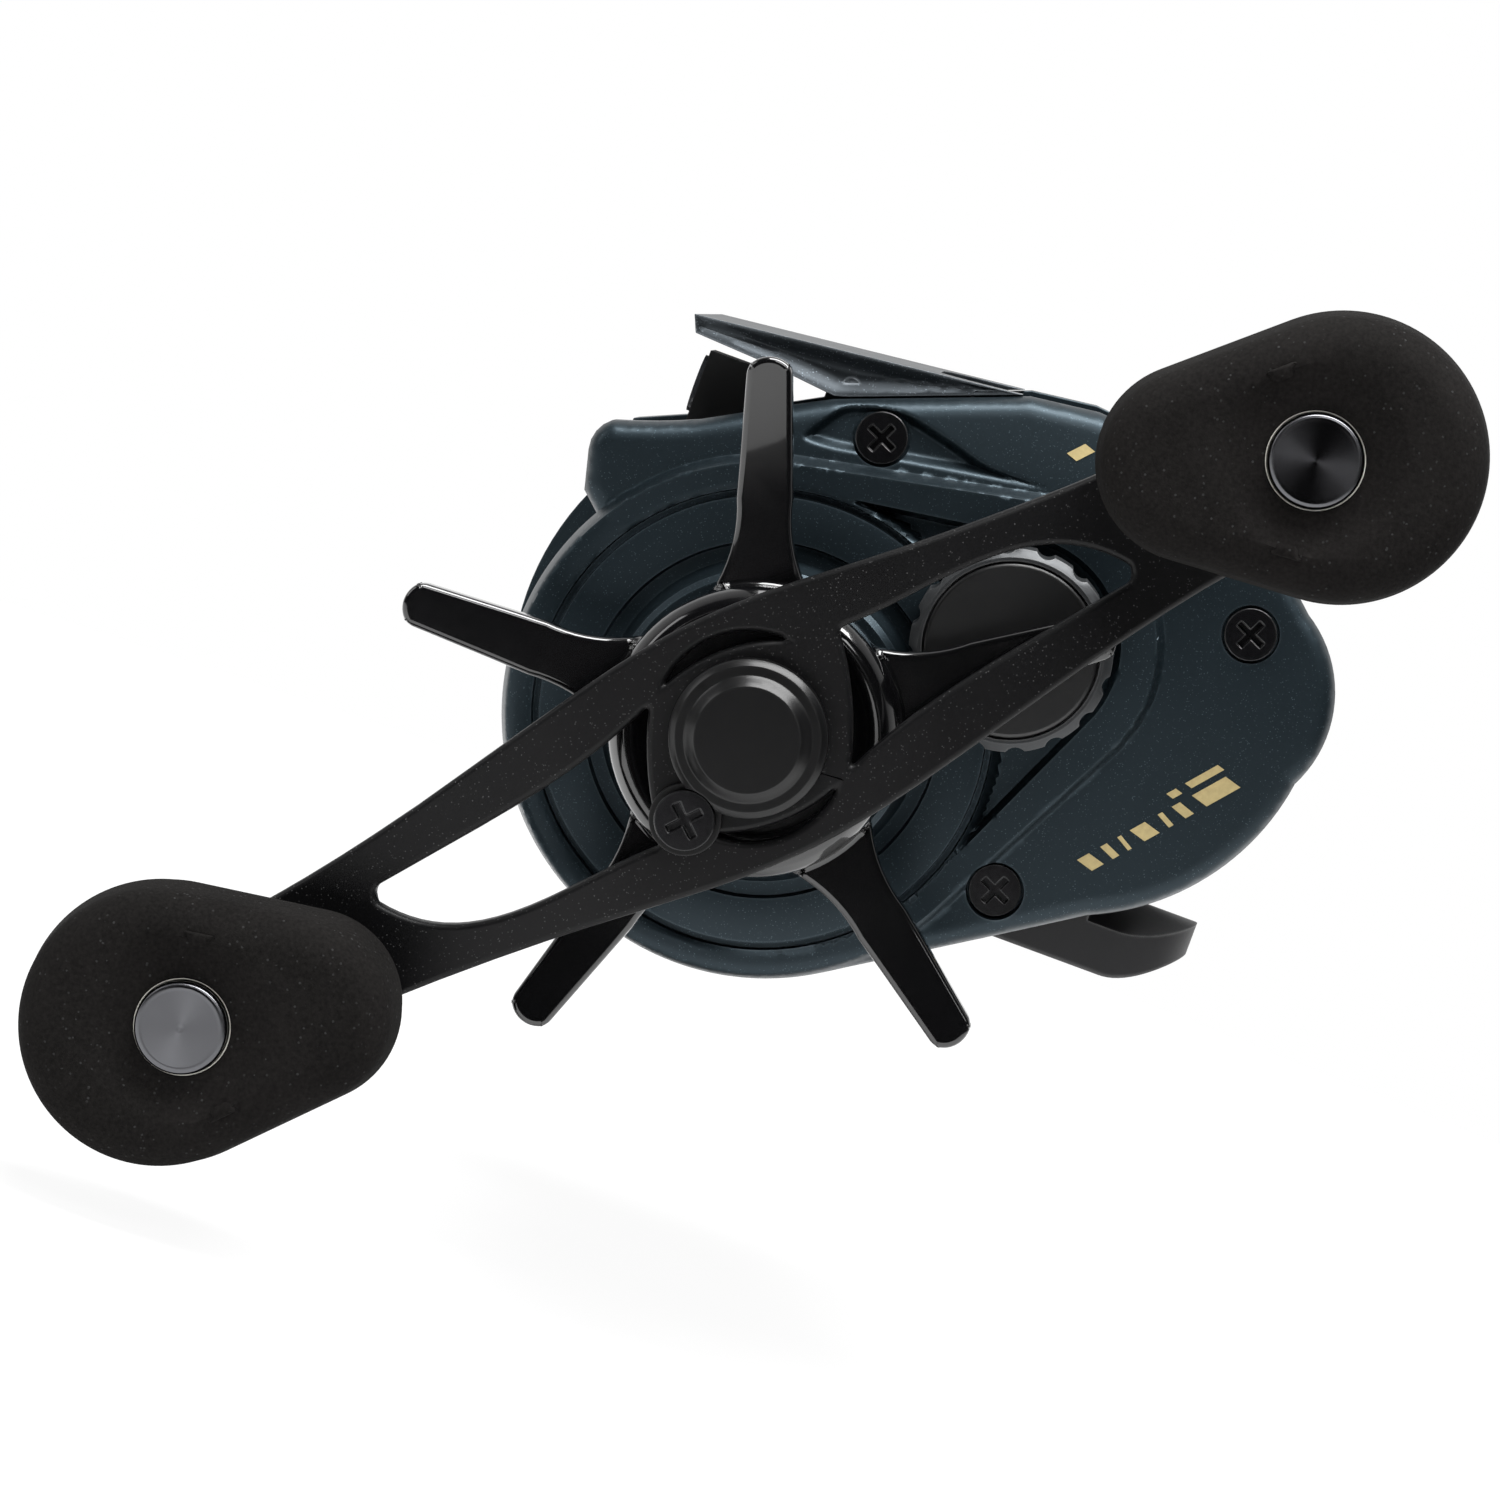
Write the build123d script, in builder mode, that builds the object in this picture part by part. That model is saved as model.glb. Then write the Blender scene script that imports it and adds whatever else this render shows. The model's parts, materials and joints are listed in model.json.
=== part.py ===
from build123d import *
from math import acos, atan2, cos, degrees, hypot, pi, radians, sin, sqrt, tan
import os

# Low-profile baitcasting reel, wound from its left side.
# +X points to the rod tip, +Y out of the handle side and +Z up.
# The origin lies on the axis of the rod seat, under the middle of the reel foot.

os.makedirs("parts", exist_ok=True)

# ---------------------------------------------------------------- clearances
running = 0.05          # radial gap of a shaft in its bearing or bush
seat_gap = 0.05         # radial gap of a bearing or insert in its pocket
side_gap = 0.1          # gap between faces that pass each other
free_gap = 0.3          # gap between covers and moving pieces

# ---------------------------------------------------------------- reel foot
saddle_radius = 7.9
foot_length = 58.0
foot_width = 13.2
foot_wall = 2.7
foot_pad_back = -20.0
foot_pad_front = 16.0
floor_z = saddle_radius + foot_wall
floor_height = 3.9
foot_screw_x = (-17.0, 6.0)
foot_screw_y = 3.5

# ---------------------------------------------------------------- axes
spool_x = -6.0
spool_z = 28.5
drive_teeth = 73
pinion_teeth = 10
drive_module = 0.5
drive_angle = -36.9     # direction from the spool axis to the drive axis
drive_reach = drive_module * (drive_teeth + pinion_teeth) / 2
drive_x = spool_x + drive_reach * cos(radians(drive_angle))
drive_z = spool_z + drive_reach * sin(radians(drive_angle))
wind_teeth = 22
worm_teeth = 16
wind_module = 0.8
worm_angle = 48.0       # direction from the drive axis to the worm axis
worm_reach = wind_module * (wind_teeth + worm_teeth) / 2
worm_x = drive_x + worm_reach * cos(radians(worm_angle))
worm_z = drive_z + worm_reach * sin(radians(worm_angle))
rod_x = worm_x + 4.8
rod_z = worm_z - 5.4

# ---------------------------------------------------------------- body side view
housing_radius = 21.2
palm_radius = 24.0
heel = (-19.3, 10.0)
tail_low = (-27.6, 16.6)
tail_mid = (-31.2, 25.6)
tail_back = (-31.5, 34.0)
tail_top = (-27.5, 38.7)
crown_back = (-17.5, 45.3)
crown = (-6.3, 48.1)
brow = (-0.6, 47.4)
notch = (14.2, 41.8)
nose_root = (23.7, 36.6)
nose_top = (31.0, 33.4)
nose_low = (30.4, 28.2)
hood_tip = (27.0, 44.4)
hood_lip = (26.4, 43.0)
hood_bend = (19.4, 43.2)

# ---------------------------------------------------------------- widths
wall_in = 12.2          # inner face of each frame wall
wall_out = 14.6         # outer face of each frame wall
cover_in = wall_out + 0.15
cover_face = 20.0
disc_face = 22.0
boss_face = 25.2
clutch_boss_face = 27.6
palm_edge = 20.0
palm_face = 24.2
hood_side = 16.8
hood_wall = 1.5
frame_inset = 0.9
cover_round = 1.2
palm_taper = 20.0

# ---------------------------------------------------------------- spool
spool_radius = 15.5
spool_half = 11.6
flange = 1.0
arbor_radius = 8.6
arbor_wall = 1.0
shaft_radius = 1.5
shaft_end_radius = 1.2
shaft_pin_radius = 0.5
shaft_pin_y = 13.4
cradle_gap = 0.9

# ---------------------------------------------------------------- drive train
gear_in = 17.2
gear_out = 19.6
wind_in = 15.0
wind_out = 16.4
drive_shaft_radius = 2.5
handle_seat_radius = 2.0
gear_cavity_face = 20.9
pinion_slide = 1.4
thumb_travel = 4.0
bearing_radius = 4.05
clutch_radius = 6.6
sleeve_radius = 3.9

# ---------------------------------------------------------------- handle
handle_lean = 46.8
knob_reach = 47.5
arm_face = 39.0
arm_thick = 2.0
arm_drop = 2.2
knob_back = 37.4
knob_face = 49.0
post_radius = 2.0
cap_radius = 3.6
star_radius = 29.0
star_arms = 5
star_lean = 35.4
tension_radius = 8.0
tension_boss = 6.2


# ---------------------------------------------------------------- helpers
def across(y):
    """Plane at a sideways position: local x is forward, local y is up."""
    return Plane.XZ.offset(-y)


def facing(x, y, z, lean=0.0):
    """Plane seen from the handle side: local x leans up from rearward, local z is outward."""
    return Plane(origin=(x, y, z), x_dir=(-cos(radians(lean)), 0, sin(radians(lean))), z_dir=(0, 1, 0))


def axle(x, z):
    """Plane that holds a sideways axis: local x runs along it, local y is the radius."""
    return Plane(origin=(x, 0, z), x_dir=(0, 1, 0), z_dir=(1, 0, 0))


SPOOL = axle(spool_x, spool_z)
DRIVE = axle(drive_x, drive_z)
WORM = axle(worm_x, worm_z)
ROD = axle(rod_x, rod_z)


def turn(where, *profile, mode=Mode.ADD):
    """Turn an outline of (sideways position, radius) corners about a sideways axis."""
    with BuildSketch(where) as section:
        with BuildLine():
            Polyline(*profile, close=True)
        make_face()
    revolve(section.sketch, axis=Axis(where.origin, where.x_dir), mode=mode)


def ring(where, start, end, inner, outer, mode=Mode.ADD):
    """Turn a plain ring or disc about a sideways axis."""
    turn(where, (start, inner), (end, inner), (end, outer), (start, outer), mode=mode)


def bar(plane, depth, *corners, mode=Mode.ADD):
    """Push a straight-sided outline out of a plane."""
    with BuildSketch(plane) as section:
        with BuildLine():
            Polyline(*corners, close=True)
        make_face()
    extrude(section.sketch, amount=depth, mode=mode)


def gear_face(teeth, module, addendum, dedendum, slack):
    """Spur gear outline with involute flanks, drawn about the local origin."""
    pitch = teeth * module / 2
    base = pitch * cos(radians(20))
    half = pi / (2 * teeth) - slack / (2 * pitch)
    radii = (pitch - dedendum, pitch, pitch + addendum)

    def involute(radius):
        if radius <= base:
            return 0.0
        angle = acos(base / radius)
        return tan(angle) - angle

    corners = []
    for tooth in range(teeth):
        centre = 2 * pi * tooth / teeth
        for radius in radii:
            spread = half + involute(pitch) - involute(radius)
            corners.append((radius * cos(centre - spread), radius * sin(centre - spread)))
        for radius in reversed(radii):
            spread = half + involute(pitch) - involute(radius)
            corners.append((radius * cos(centre + spread), radius * sin(centre + spread)))
    with BuildLine() as rim:
        Polyline(*corners, close=True)
    make_face(rim.edges())


def body_outline(front_radius):
    """Side view of the body: round gear housing, tail, crown and nose."""
    centre = (drive_x, drive_z)
    reach = hypot(heel[0] - drive_x, heel[1] - drive_z)
    toward_heel = atan2(heel[1] - drive_z, heel[0] - drive_x)
    swing = acos(front_radius / reach)
    touch = (drive_x + front_radius * cos(toward_heel + swing), drive_z + front_radius * sin(toward_heel + swing))
    with BuildLine() as rim:
        Polyline(centre, touch, heel)
        ThreePointArc(heel, tail_low, tail_mid)
        ThreePointArc(tail_mid, tail_back, tail_top)
        ThreePointArc(tail_top, crown_back, crown)
        Polyline(crown, brow, notch, nose_root, nose_top, nose_low, centre)
    make_face(rim.edges())
    with Locations(centre):
        Circle(front_radius)


def ridge_z(x, drop=0.0):
    """Height of the hood's ridge line at a forward position."""
    share = (x - brow[0]) / (hood_tip[0] - brow[0])
    return brow[1] + share * (hood_tip[1] - brow[1]) - drop


# places of the screws that hold the side covers, as (forward, up)
cover_screws = [(9.4, 40.3), (-23.6, 35.7), (-11.6, 9.4)]
cover_screw_head = 2.1
cover_screw_shank = 1.0
screw_recess = 2.3
cover_screw_seat = 18.4
palm_screw_seat = -19.4
hood_screw_spot = (13.2, ridge_z(13.2, 2.6))
hood_screw_shank = 0.6
ear_gap = 0.15
ear_back = 1.5
ear_front = 15.0

# thumb bar tabs and the slots that guide them
tab_back = -28.2
tab_front = -25.6
tab_low = 33.8
tab_high = 36.4

# yoke: a fork around the pinion's groove, opening toward the drive axis
yoke_in = 15.9
yoke_out = 16.7
groove_in = 15.7
groove_out = 16.9
yoke_post_spread = 8.0
yoke_post_back = -3.0
yoke_post_radius = 0.8


def leaning(x, y, z, angle):
    """Plane across the reel with local x at an angle up from forward."""
    return Plane(origin=(x, y, z), x_dir=(cos(radians(angle)), 0, sin(radians(angle))), z_dir=(0, -1, 0))


def yoke_plane(y):
    """Plane on the spool axis with local x toward the drive axis."""
    return leaning(spool_x, y, spool_z, drive_angle)


# ================================================================ frame
with BuildPart() as frame:
    for start, end in ((wall_in, wall_out), (-wall_out, -wall_in)):
        with BuildSketch(across(start)):
            body_outline(housing_radius)
            offset(amount=-frame_inset)
        extrude(amount=start - end)
        ear = [(ear_back, ridge_z(ear_back, hood_wall + ear_gap)), (ear_front, ridge_z(ear_front, hood_wall + ear_gap)),
               (ear_front, notch[1] - 3), (ear_back, notch[1] - 3)]
        bar(across(start), start - end, *ear)
    # floor over the foot, rear bar behind the spool and bar under the guide rod
    floor_back = foot_pad_back - 2.0
    floor_top = floor_z + floor_height
    bar(across(wall_in), 2 * wall_in, (floor_back, floor_z), (foot_pad_front, floor_z),
        (foot_pad_front + 1.5, floor_top), (floor_back, floor_top))
    bar(across(wall_in), 2 * wall_in, (-30.0, 28.8), (-27.2, 28.8), (-25.2, 21.5), (-20.5, floor_top),
        (-20.5, floor_z + 2.2), (floor_back, floor_z + 1.4), (-27.2, 19.0))
    bar(across(wall_in), 2 * wall_in, (24.6, 12.4), (28.4, 13.4), (28.8, 16.6), (25.0, 16.6))
    ring(SPOOL, -wall_in, wall_in, 0, spool_radius + cradle_gap, mode=Mode.SUBTRACT)
    # spool opening on the palm side and the pinion's way through the gear side
    ring(SPOOL, -wall_out, -wall_in, 0, spool_radius + cradle_gap, mode=Mode.SUBTRACT)
    ring(SPOOL, wall_in, wall_out, 0, 3.3, mode=Mode.SUBTRACT)
    # drive bearing pocket with a lip toward the spool
    ring(DRIVE, wall_in + 0.2, wall_out, 0, 4.5 + seat_gap, mode=Mode.SUBTRACT)
    ring(DRIVE, wall_in, wall_in + 0.2, 0, 3.4, mode=Mode.SUBTRACT)
    ring(WORM, -wall_out, wall_out, 0, 2.6, mode=Mode.SUBTRACT)
    ring(ROD, -wall_out, wall_out, 0, 1.25 + running, mode=Mode.SUBTRACT)
    # slots for the thumb bar's tabs
    with BuildSketch(across(wall_out)):
        with Locations(((tab_back + tab_front) / 2, (tab_low + tab_high - thumb_travel) / 2)):
            Rectangle(tab_front - tab_back + 4 * side_gap, tab_high - tab_low + thumb_travel + 4 * side_gap)
    extrude(amount=2 * wall_out, mode=Mode.SUBTRACT)
    for x, z in cover_screws:
        ring(axle(x, z), -wall_out, wall_out, 0, cover_screw_shank + running, mode=Mode.SUBTRACT)
    ring(axle(*hood_screw_spot), -wall_out, wall_out, 0, hood_screw_shank + running, mode=Mode.SUBTRACT)
    # holes for the yoke posts
    with BuildSketch(yoke_plane(wall_out)):
        with Locations((yoke_post_back, yoke_post_spread), (yoke_post_back, -yoke_post_spread)):
            Circle(yoke_post_radius + running)
    extrude(amount=1.8, mode=Mode.SUBTRACT)
    # counterbored holes for the foot screws
    with BuildSketch(Plane.XY.offset(floor_z)):
        with Locations(*[(x, side * foot_screw_y) for x in foot_screw_x for side in (-1, 1)]):
            Circle(1.0 + running)
    extrude(amount=floor_height, mode=Mode.SUBTRACT)
    with BuildSketch(Plane.XY.offset(floor_top - 1.4)):
        with Locations(*[(x, side * foot_screw_y) for x in foot_screw_x for side in (-1, 1)]):
            Circle(1.9)
    extrude(amount=8, mode=Mode.SUBTRACT)
frame.part.label = "frame"
export_step(frame.part, "parts/frame.step")

# ================================================================ reel foot
with BuildPart() as reel_foot:
    with BuildSketch(Plane.YZ.offset(-foot_length / 2)):
        Circle(saddle_radius + foot_wall)
        Circle(saddle_radius, mode=Mode.SUBTRACT)
        with Locations((0, saddle_radius)):
            Rectangle(foot_width, 2 * saddle_radius - 1.0, mode=Mode.INTERSECT)
    extrude(amount=foot_length)
    with BuildSketch(Plane.XY):
        SlotOverall(foot_length, foot_width)
    extrude(amount=floor_z + 1, mode=Mode.INTERSECT)
    with BuildSketch(Plane.YZ.offset(foot_pad_back)):
        with Locations((0, floor_z - 1.6)):
            Rectangle(foot_width, 3.2)
        Circle(saddle_radius + 1.0, mode=Mode.SUBTRACT)
    extrude(amount=foot_pad_front - foot_pad_back)
    with BuildSketch(Plane.XY.offset(floor_z)):
        with Locations(*[(x, side * foot_screw_y) for x in foot_screw_x for side in (-1, 1)]):
            Circle(1.0 + running)
    extrude(amount=-2.2, mode=Mode.SUBTRACT)
reel_foot.part.label = "reel_foot"
export_step(reel_foot.part, "parts/reel_foot.step")

with BuildPart() as foot_screws:
    spots = [(x, side * foot_screw_y) for x in foot_screw_x for side in (-1, 1)]
    with BuildSketch(Plane.XY.offset(floor_top - 1.4)):
        with Locations(*spots):
            Circle(1.75)
            Rectangle(0.5, 2.2, mode=Mode.SUBTRACT)
            Rectangle(2.2, 0.5, mode=Mode.SUBTRACT)
    extrude(amount=1.1)
    with BuildSketch(Plane.XY.offset(floor_z - 2.0)):
        with Locations(*spots):
            Circle(1.0)
    extrude(amount=floor_height - 1.4 + 2.3)
foot_screws.part.label = "foot_screws"
export_step(foot_screws.part, "parts/foot_screws.step")

# ================================================================ handle side cover
plateau_radius = 11.8
plateau_face = 20.9
cap_collar_face = 22.2
drum_proud = 0.5        # the drum stands this far outside the flat part of the cover
room_mouth = cover_in - 1.0
with BuildPart() as handle_side_plate:
    with BuildSketch(across(cover_in)):
        body_outline(housing_radius - drum_proud)
    extrude(amount=cover_in - cover_face)
    fillet(faces().sort_by(Axis.Y)[-1].outer_wire().edges(), radius=cover_round)
    # plateau round the spool axis
    turn(SPOOL, (17.5, 0), (17.5, plateau_radius), (plateau_face - 0.7, plateau_radius),
         (plateau_face, plateau_radius - 0.7), (plateau_face, 0))
    # gear housing with its rim, groove, disc, step and centre boss
    turn(DRIVE, (cover_in, 0), (cover_in, housing_radius), (disc_face - 0.9, housing_radius),
         (disc_face, housing_radius - 0.8), (disc_face, 18.45), (disc_face - 0.5, 18.45),
         (disc_face - 0.5, 17.95), (disc_face + 0.2, 17.95), (disc_face + 0.2, 14.3),
         (disc_face - 0.4, 14.1), (disc_face - 0.4, 13.1), (disc_face + 0.6, 12.4),
         (boss_face - 0.5, 12.2), (boss_face, 11.7), (boss_face, 8.4), (clutch_boss_face, 8.0), (clutch_boss_face, 0))
    # collar and threaded boss under the cast control cap
    turn(SPOOL, (plateau_face - 0.7, 0), (plateau_face - 0.7, 9.3), (plateau_face + 0.3, 9.3),
         (cap_collar_face, 8.8), (cap_collar_face, tension_boss), (26.2, tension_boss), (26.2, 0))
    # gear room, pinion room, worm gear room and the clutch slide's room
    ring(DRIVE, room_mouth, gear_cavity_face, 0, 19.3, mode=Mode.SUBTRACT)
    ring(SPOOL, room_mouth, 19.4, 0, 11.0, mode=Mode.SUBTRACT)
    ring(WORM, room_mouth, 17.1, 0, 7.6, mode=Mode.SUBTRACT)
    bar(across(room_mouth), room_mouth - 17.7, (-28.7, 26.6), (-9.0, 22.7), (-9.0, 41.6), (-16.5, 40.6),
        (-16.5, 34.6), (-25.0, 34.6), (-25.0, 36.9), (-28.7, 36.9), mode=Mode.SUBTRACT)
    # bores for the pinion, its bearing and the shaft bearing
    ring(SPOOL, 19.0, 21.4, 0, 3.3, mode=Mode.SUBTRACT)
    ring(SPOOL, 21.4, 27.0, 0, bearing_radius + seat_gap, mode=Mode.SUBTRACT)
    # bores for the roller clutch and the drive shaft
    ring(DRIVE, gear_cavity_face - 0.5, clutch_boss_face + 1, 0, clutch_radius + seat_gap, mode=Mode.SUBTRACT)
    for x, z in cover_screws:
        ring(axle(x, z), room_mouth, cover_face + 1, 0, cover_screw_shank + running, mode=Mode.SUBTRACT)
        ring(axle(x, z), cover_screw_seat, disc_face + 1, 0, screw_recess, mode=Mode.SUBTRACT)
handle_side_plate.part.label = "handle_side_plate"
export_step(handle_side_plate.part, "parts/handle_side_plate.step")


def cover_screw(x, z, seat, tip):
    """Cross-head screw along the width, with its head outward of its seat."""
    outward = 1.0 if seat > 0 else -1.0
    ring(axle(x, z), seat, seat + outward * 1.1, 0, cover_screw_head)
    ring(axle(x, z), tip, seat, 0, cover_screw_shank)
    with BuildSketch(across(seat + outward * 1.1)) as cross:
        with Locations((x, z)):
            Rectangle(0.55, 2.6, rotation=25)
            Rectangle(2.6, 0.55, rotation=25)
    extrude(cross.sketch, amount=outward * 0.7, mode=Mode.SUBTRACT)


# ================================================================ palm side cover
brake_dial_radius = 9.0
with BuildPart() as palm_side_plate:
    with BuildSketch(across(-cover_in)):
        body_outline(palm_radius)
    extrude(amount=palm_edge - cover_in)
    with BuildSketch(across(-palm_edge)):
        body_outline(palm_radius)
    extrude(amount=palm_face - palm_edge, taper=palm_taper)
    # hollow front and tail, leaving the hub that carries the spool
    with BuildSketch(across(-cover_in)):
        with Locations((drive_x, drive_z)):
            Circle(palm_radius - 3.2)
        with Locations((spool_x, spool_z)):
            Circle(11.6, mode=Mode.SUBTRACT)
        with Locations(cover_screws[2]):
            Circle(3.4, mode=Mode.SUBTRACT)
    extrude(amount=7.2, mode=Mode.SUBTRACT)
    ring(SPOOL, -17.9, -cover_in, 0, 8.6 + seat_gap, mode=Mode.SUBTRACT)
    ring(SPOOL, -20.2, -17.9, 0, 3.5 + seat_gap, mode=Mode.SUBTRACT)
    ring(SPOOL, -21.1, -20.2, 0, 1.6, mode=Mode.SUBTRACT)
    # recess and post of the brake dial
    ring(SPOOL, -palm_face, -23.2, 3.4, brake_dial_radius + free_gap, mode=Mode.SUBTRACT)
    ring(SPOOL, -25.6, -23.2, 1.1, 3.4)
    ring(SPOOL, -25.6, -22.4, 0, 0.9, mode=Mode.SUBTRACT)
    for x, z in cover_screws:
        ring(axle(x, z), -palm_face, -cover_in, 0, cover_screw_shank + running, mode=Mode.SUBTRACT)
        ring(axle(x, z), -palm_face, palm_screw_seat, 0, screw_recess, mode=Mode.SUBTRACT)
palm_side_plate.part.label = "palm_side_plate"
export_step(palm_side_plate.part, "parts/palm_side_plate.step")

with BuildPart() as side_screws:
    for x, z in cover_screws:
        cover_screw(x, z, cover_screw_seat, wall_in + 0.4)
        cover_screw(x, z, palm_screw_seat, -wall_in - 0.4)
side_screws.part.label = "side_screws"
export_step(side_screws.part, "parts/side_screws.step")

with BuildPart() as brake_dial:
    turn(SPOOL, (-23.3, 3.4 + running), (-23.3, brake_dial_radius), (-25.0, brake_dial_radius),
         (-25.6, brake_dial_radius - 0.7), (-25.6, 3.4 + running))
    with BuildSketch(across(-25.6)):
        with Locations((spool_x, spool_z)):
            with PolarLocations(brake_dial_radius + 0.25, 18):
                Circle(0.8)
    extrude(amount=-2.4, mode=Mode.SUBTRACT)
brake_dial.part.label = "brake_dial"
export_step(brake_dial.part, "parts/brake_dial.step")

with BuildPart() as brake_dial_screw:
    ring(SPOOL, -26.6, -25.65, 0, 4.4)
    ring(SPOOL, -25.65, -22.7, 0, 0.9 - running)
    bar(across(-26.6), -0.4, (spool_x - 3, spool_z - 0.3), (spool_x + 3, spool_z - 0.3),
        (spool_x + 3, spool_z + 0.3), (spool_x - 3, spool_z + 0.3), mode=Mode.SUBTRACT)
brake_dial_screw.part.label = "brake_dial_screw"
export_step(brake_dial_screw.part, "parts/brake_dial_screw.step")

with BuildPart() as magnet_ring:
    ring(SPOOL, -17.85, -15.2, 7.1, 8.6)
    with BuildSketch(across(-15.2)):
        with Locations((spool_x, spool_z)):
            with PolarLocations(7.1, 8):
                Rectangle(0.9, 1.2, mode=Mode.ADD)
            Circle(8.6, mode=Mode.INTERSECT)
            Circle(6.95, mode=Mode.SUBTRACT)
    extrude(amount=2.4)
magnet_ring.part.label = "magnet_ring"
export_step(magnet_ring.part, "parts/magnet_ring.step")

# ================================================================ front hood
with BuildPart() as front_hood:
    bar(across(hood_side), 2 * hood_side, hood_tip, (brow[0] - 4.0, ridge_z(brow[0] - 4.0)),
        (brow[0], brow[1] - 0.9), (notch[0], notch[1] + 0.25), (hood_bend[0], hood_bend[1] - 0.6), hood_lip)
    # open underneath between the walls, and back from the spool
    inner = [(40.0, 20.0), (-10.0, 20.0), (-10.0, ridge_z(-10.0, hood_wall)), (hood_lip[0] - 2.2, ridge_z(24.2, hood_wall)),
             (hood_lip[0] - 1.0, 42.0)]
    bar(across(wall_out + side_gap), 2 * (wall_out + side_gap), *inner, mode=Mode.SUBTRACT)
    with BuildSketch(Plane.XY.offset(60)):
        with Locations((-12.0, 0)):
            Rectangle(38.0, 2 * (wall_in - 0.4))
        fillet(vertices(), radius=6.0)
    extrude(amount=-30, mode=Mode.SUBTRACT)
    ring(axle(*hood_screw_spot), -hood_side + 0.7, hood_side - 0.7, 0, hood_screw_shank + running, mode=Mode.SUBTRACT)
    ring(axle(*hood_screw_spot), -wall_in, wall_in, 0, 1.5 + seat_gap, mode=Mode.SUBTRACT)
    # ears of the frame rise between the hood's cheeks and its bridge
    with BuildSketch(across(hood_side)):
        body_outline(housing_radius)
        offset(amount=0.15)
    extrude(amount=2 * hood_side, mode=Mode.SUBTRACT)
front_hood.part.label = "front_hood"
export_step(front_hood.part, "parts/front_hood.step")

with BuildPart() as hood_screws:
    for side in (-1, 1):
        ring(axle(*hood_screw_spot), side * (wall_in - 0.8), side * wall_in, 0, 1.5)
        ring(axle(*hood_screw_spot), side * wall_in, side * (hood_side - 1.0), 0, hood_screw_shank)
hood_screws.part.label = "hood_screws"
export_step(hood_screws.part, "parts/hood_screws.step")

# ================================================================ thumb bar and clutch
with BuildPart() as thumb_bar:
    bar(across(wall_in - 0.4), 2 * (wall_in - 0.4), (-28.6, 33.4), (-22.0, 33.4), (-21.4, 36.6), (-22.6, 38.2),
        (-26.4, 38.2), (-28.6, 36.6))
    for start, end in ((wall_in - 0.5, cover_in + 1.0), (-wall_in + 0.5, -wall_out)):
        bar(across(start), start - end, (tab_back, tab_low), (tab_front, tab_low), (tab_front, tab_high),
            (tab_back, tab_high))
thumb_bar.part.label = "thumb_bar"
export_step(thumb_bar.part, "parts/thumb_bar.step")

ramp_x = (-14.0, -11.2)
ramp_low = 15.55
tail_z = 34.2
with BuildPart() as clutch_slide:
    # flat arm from the thumb bar's tab to the ramp
    bar(across(cover_in + 0.05), 0.05 - 0.75, (tab_back, tab_low - 2.6), (ramp_x[1], tab_low - 2.6),
        (ramp_x[1], tab_low + 0.4), (tab_front + side_gap, tab_low + 0.4), (tab_front + side_gap, tab_low - side_gap),
        (tab_back, tab_low - side_gap))
    # ramp that lifts the yoke
    with BuildSketch(Plane.YZ.offset(ramp_x[0])):
        with BuildLine():
            Polyline((cover_in + 0.05, 29.0), (ramp_low, 29.0), (ramp_low, tail_z),
                     (ramp_low + pinion_slide, tail_z + thumb_travel), (cover_in + 0.05, tail_z + thumb_travel),
                     close=True)
        make_face()
    extrude(amount=ramp_x[1] - ramp_x[0])
clutch_slide.part.label = "clutch_slide"
export_step(clutch_slide.part, "parts/clutch_slide.step")

with BuildPart() as yoke:
    with BuildSketch(yoke_plane(yoke_in)):
        with Locations((yoke_post_back, yoke_post_spread), (yoke_post_back, -yoke_post_spread)):
            Circle(2.0)
        with Locations((-1.9, 0)):
            Rectangle(6.0, 2 * yoke_post_spread)
        with Locations((-6.0, -0.6)):
            Rectangle(5.0, 3.0)
        with Locations((6.0, 0)):
            Rectangle(12.0, 4.5, mode=Mode.SUBTRACT)
        Circle(2.25, mode=Mode.SUBTRACT)
        with Locations((yoke_post_back, yoke_post_spread), (yoke_post_back, -yoke_post_spread)):
            Circle(yoke_post_radius + 2 * running, mode=Mode.SUBTRACT)
    extrude(amount=yoke_in - yoke_out)
yoke.part.label = "yoke"
export_step(yoke.part, "parts/yoke.step")

with BuildPart() as yoke_posts:
    with BuildSketch(yoke_plane(wall_out - 1.7)):
        with Locations((yoke_post_back, yoke_post_spread), (yoke_post_back, -yoke_post_spread)):
            Circle(yoke_post_radius)
    extrude(amount=-(19.3 - (wall_out - 1.7)))
yoke_posts.part.label = "yoke_posts"
export_step(yoke_posts.part, "parts/yoke_posts.step")

spring_radius = 1.3
spring_wire = 0.18
with BuildPart() as yoke_springs:
    for side in (-1, 1):
        toward = yoke_plane(yoke_out + spring_wire + 0.15)
        foot_point = toward.from_local_coords(Vector(yoke_post_back, side * yoke_post_spread, 0))
        with BuildLine() as coil:
            Helix(pitch=0.5, height=2.0, radius=spring_radius, center=foot_point, direction=(0, 1, 0))
        with BuildSketch(Plane(origin=coil.line @ 0, z_dir=coil.line % 0)):
            Circle(spring_wire)
        sweep(is_frenet=True)
yoke_springs.part.label = "yoke_springs"
export_step(yoke_springs.part, "parts/yoke_springs.step")

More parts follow.
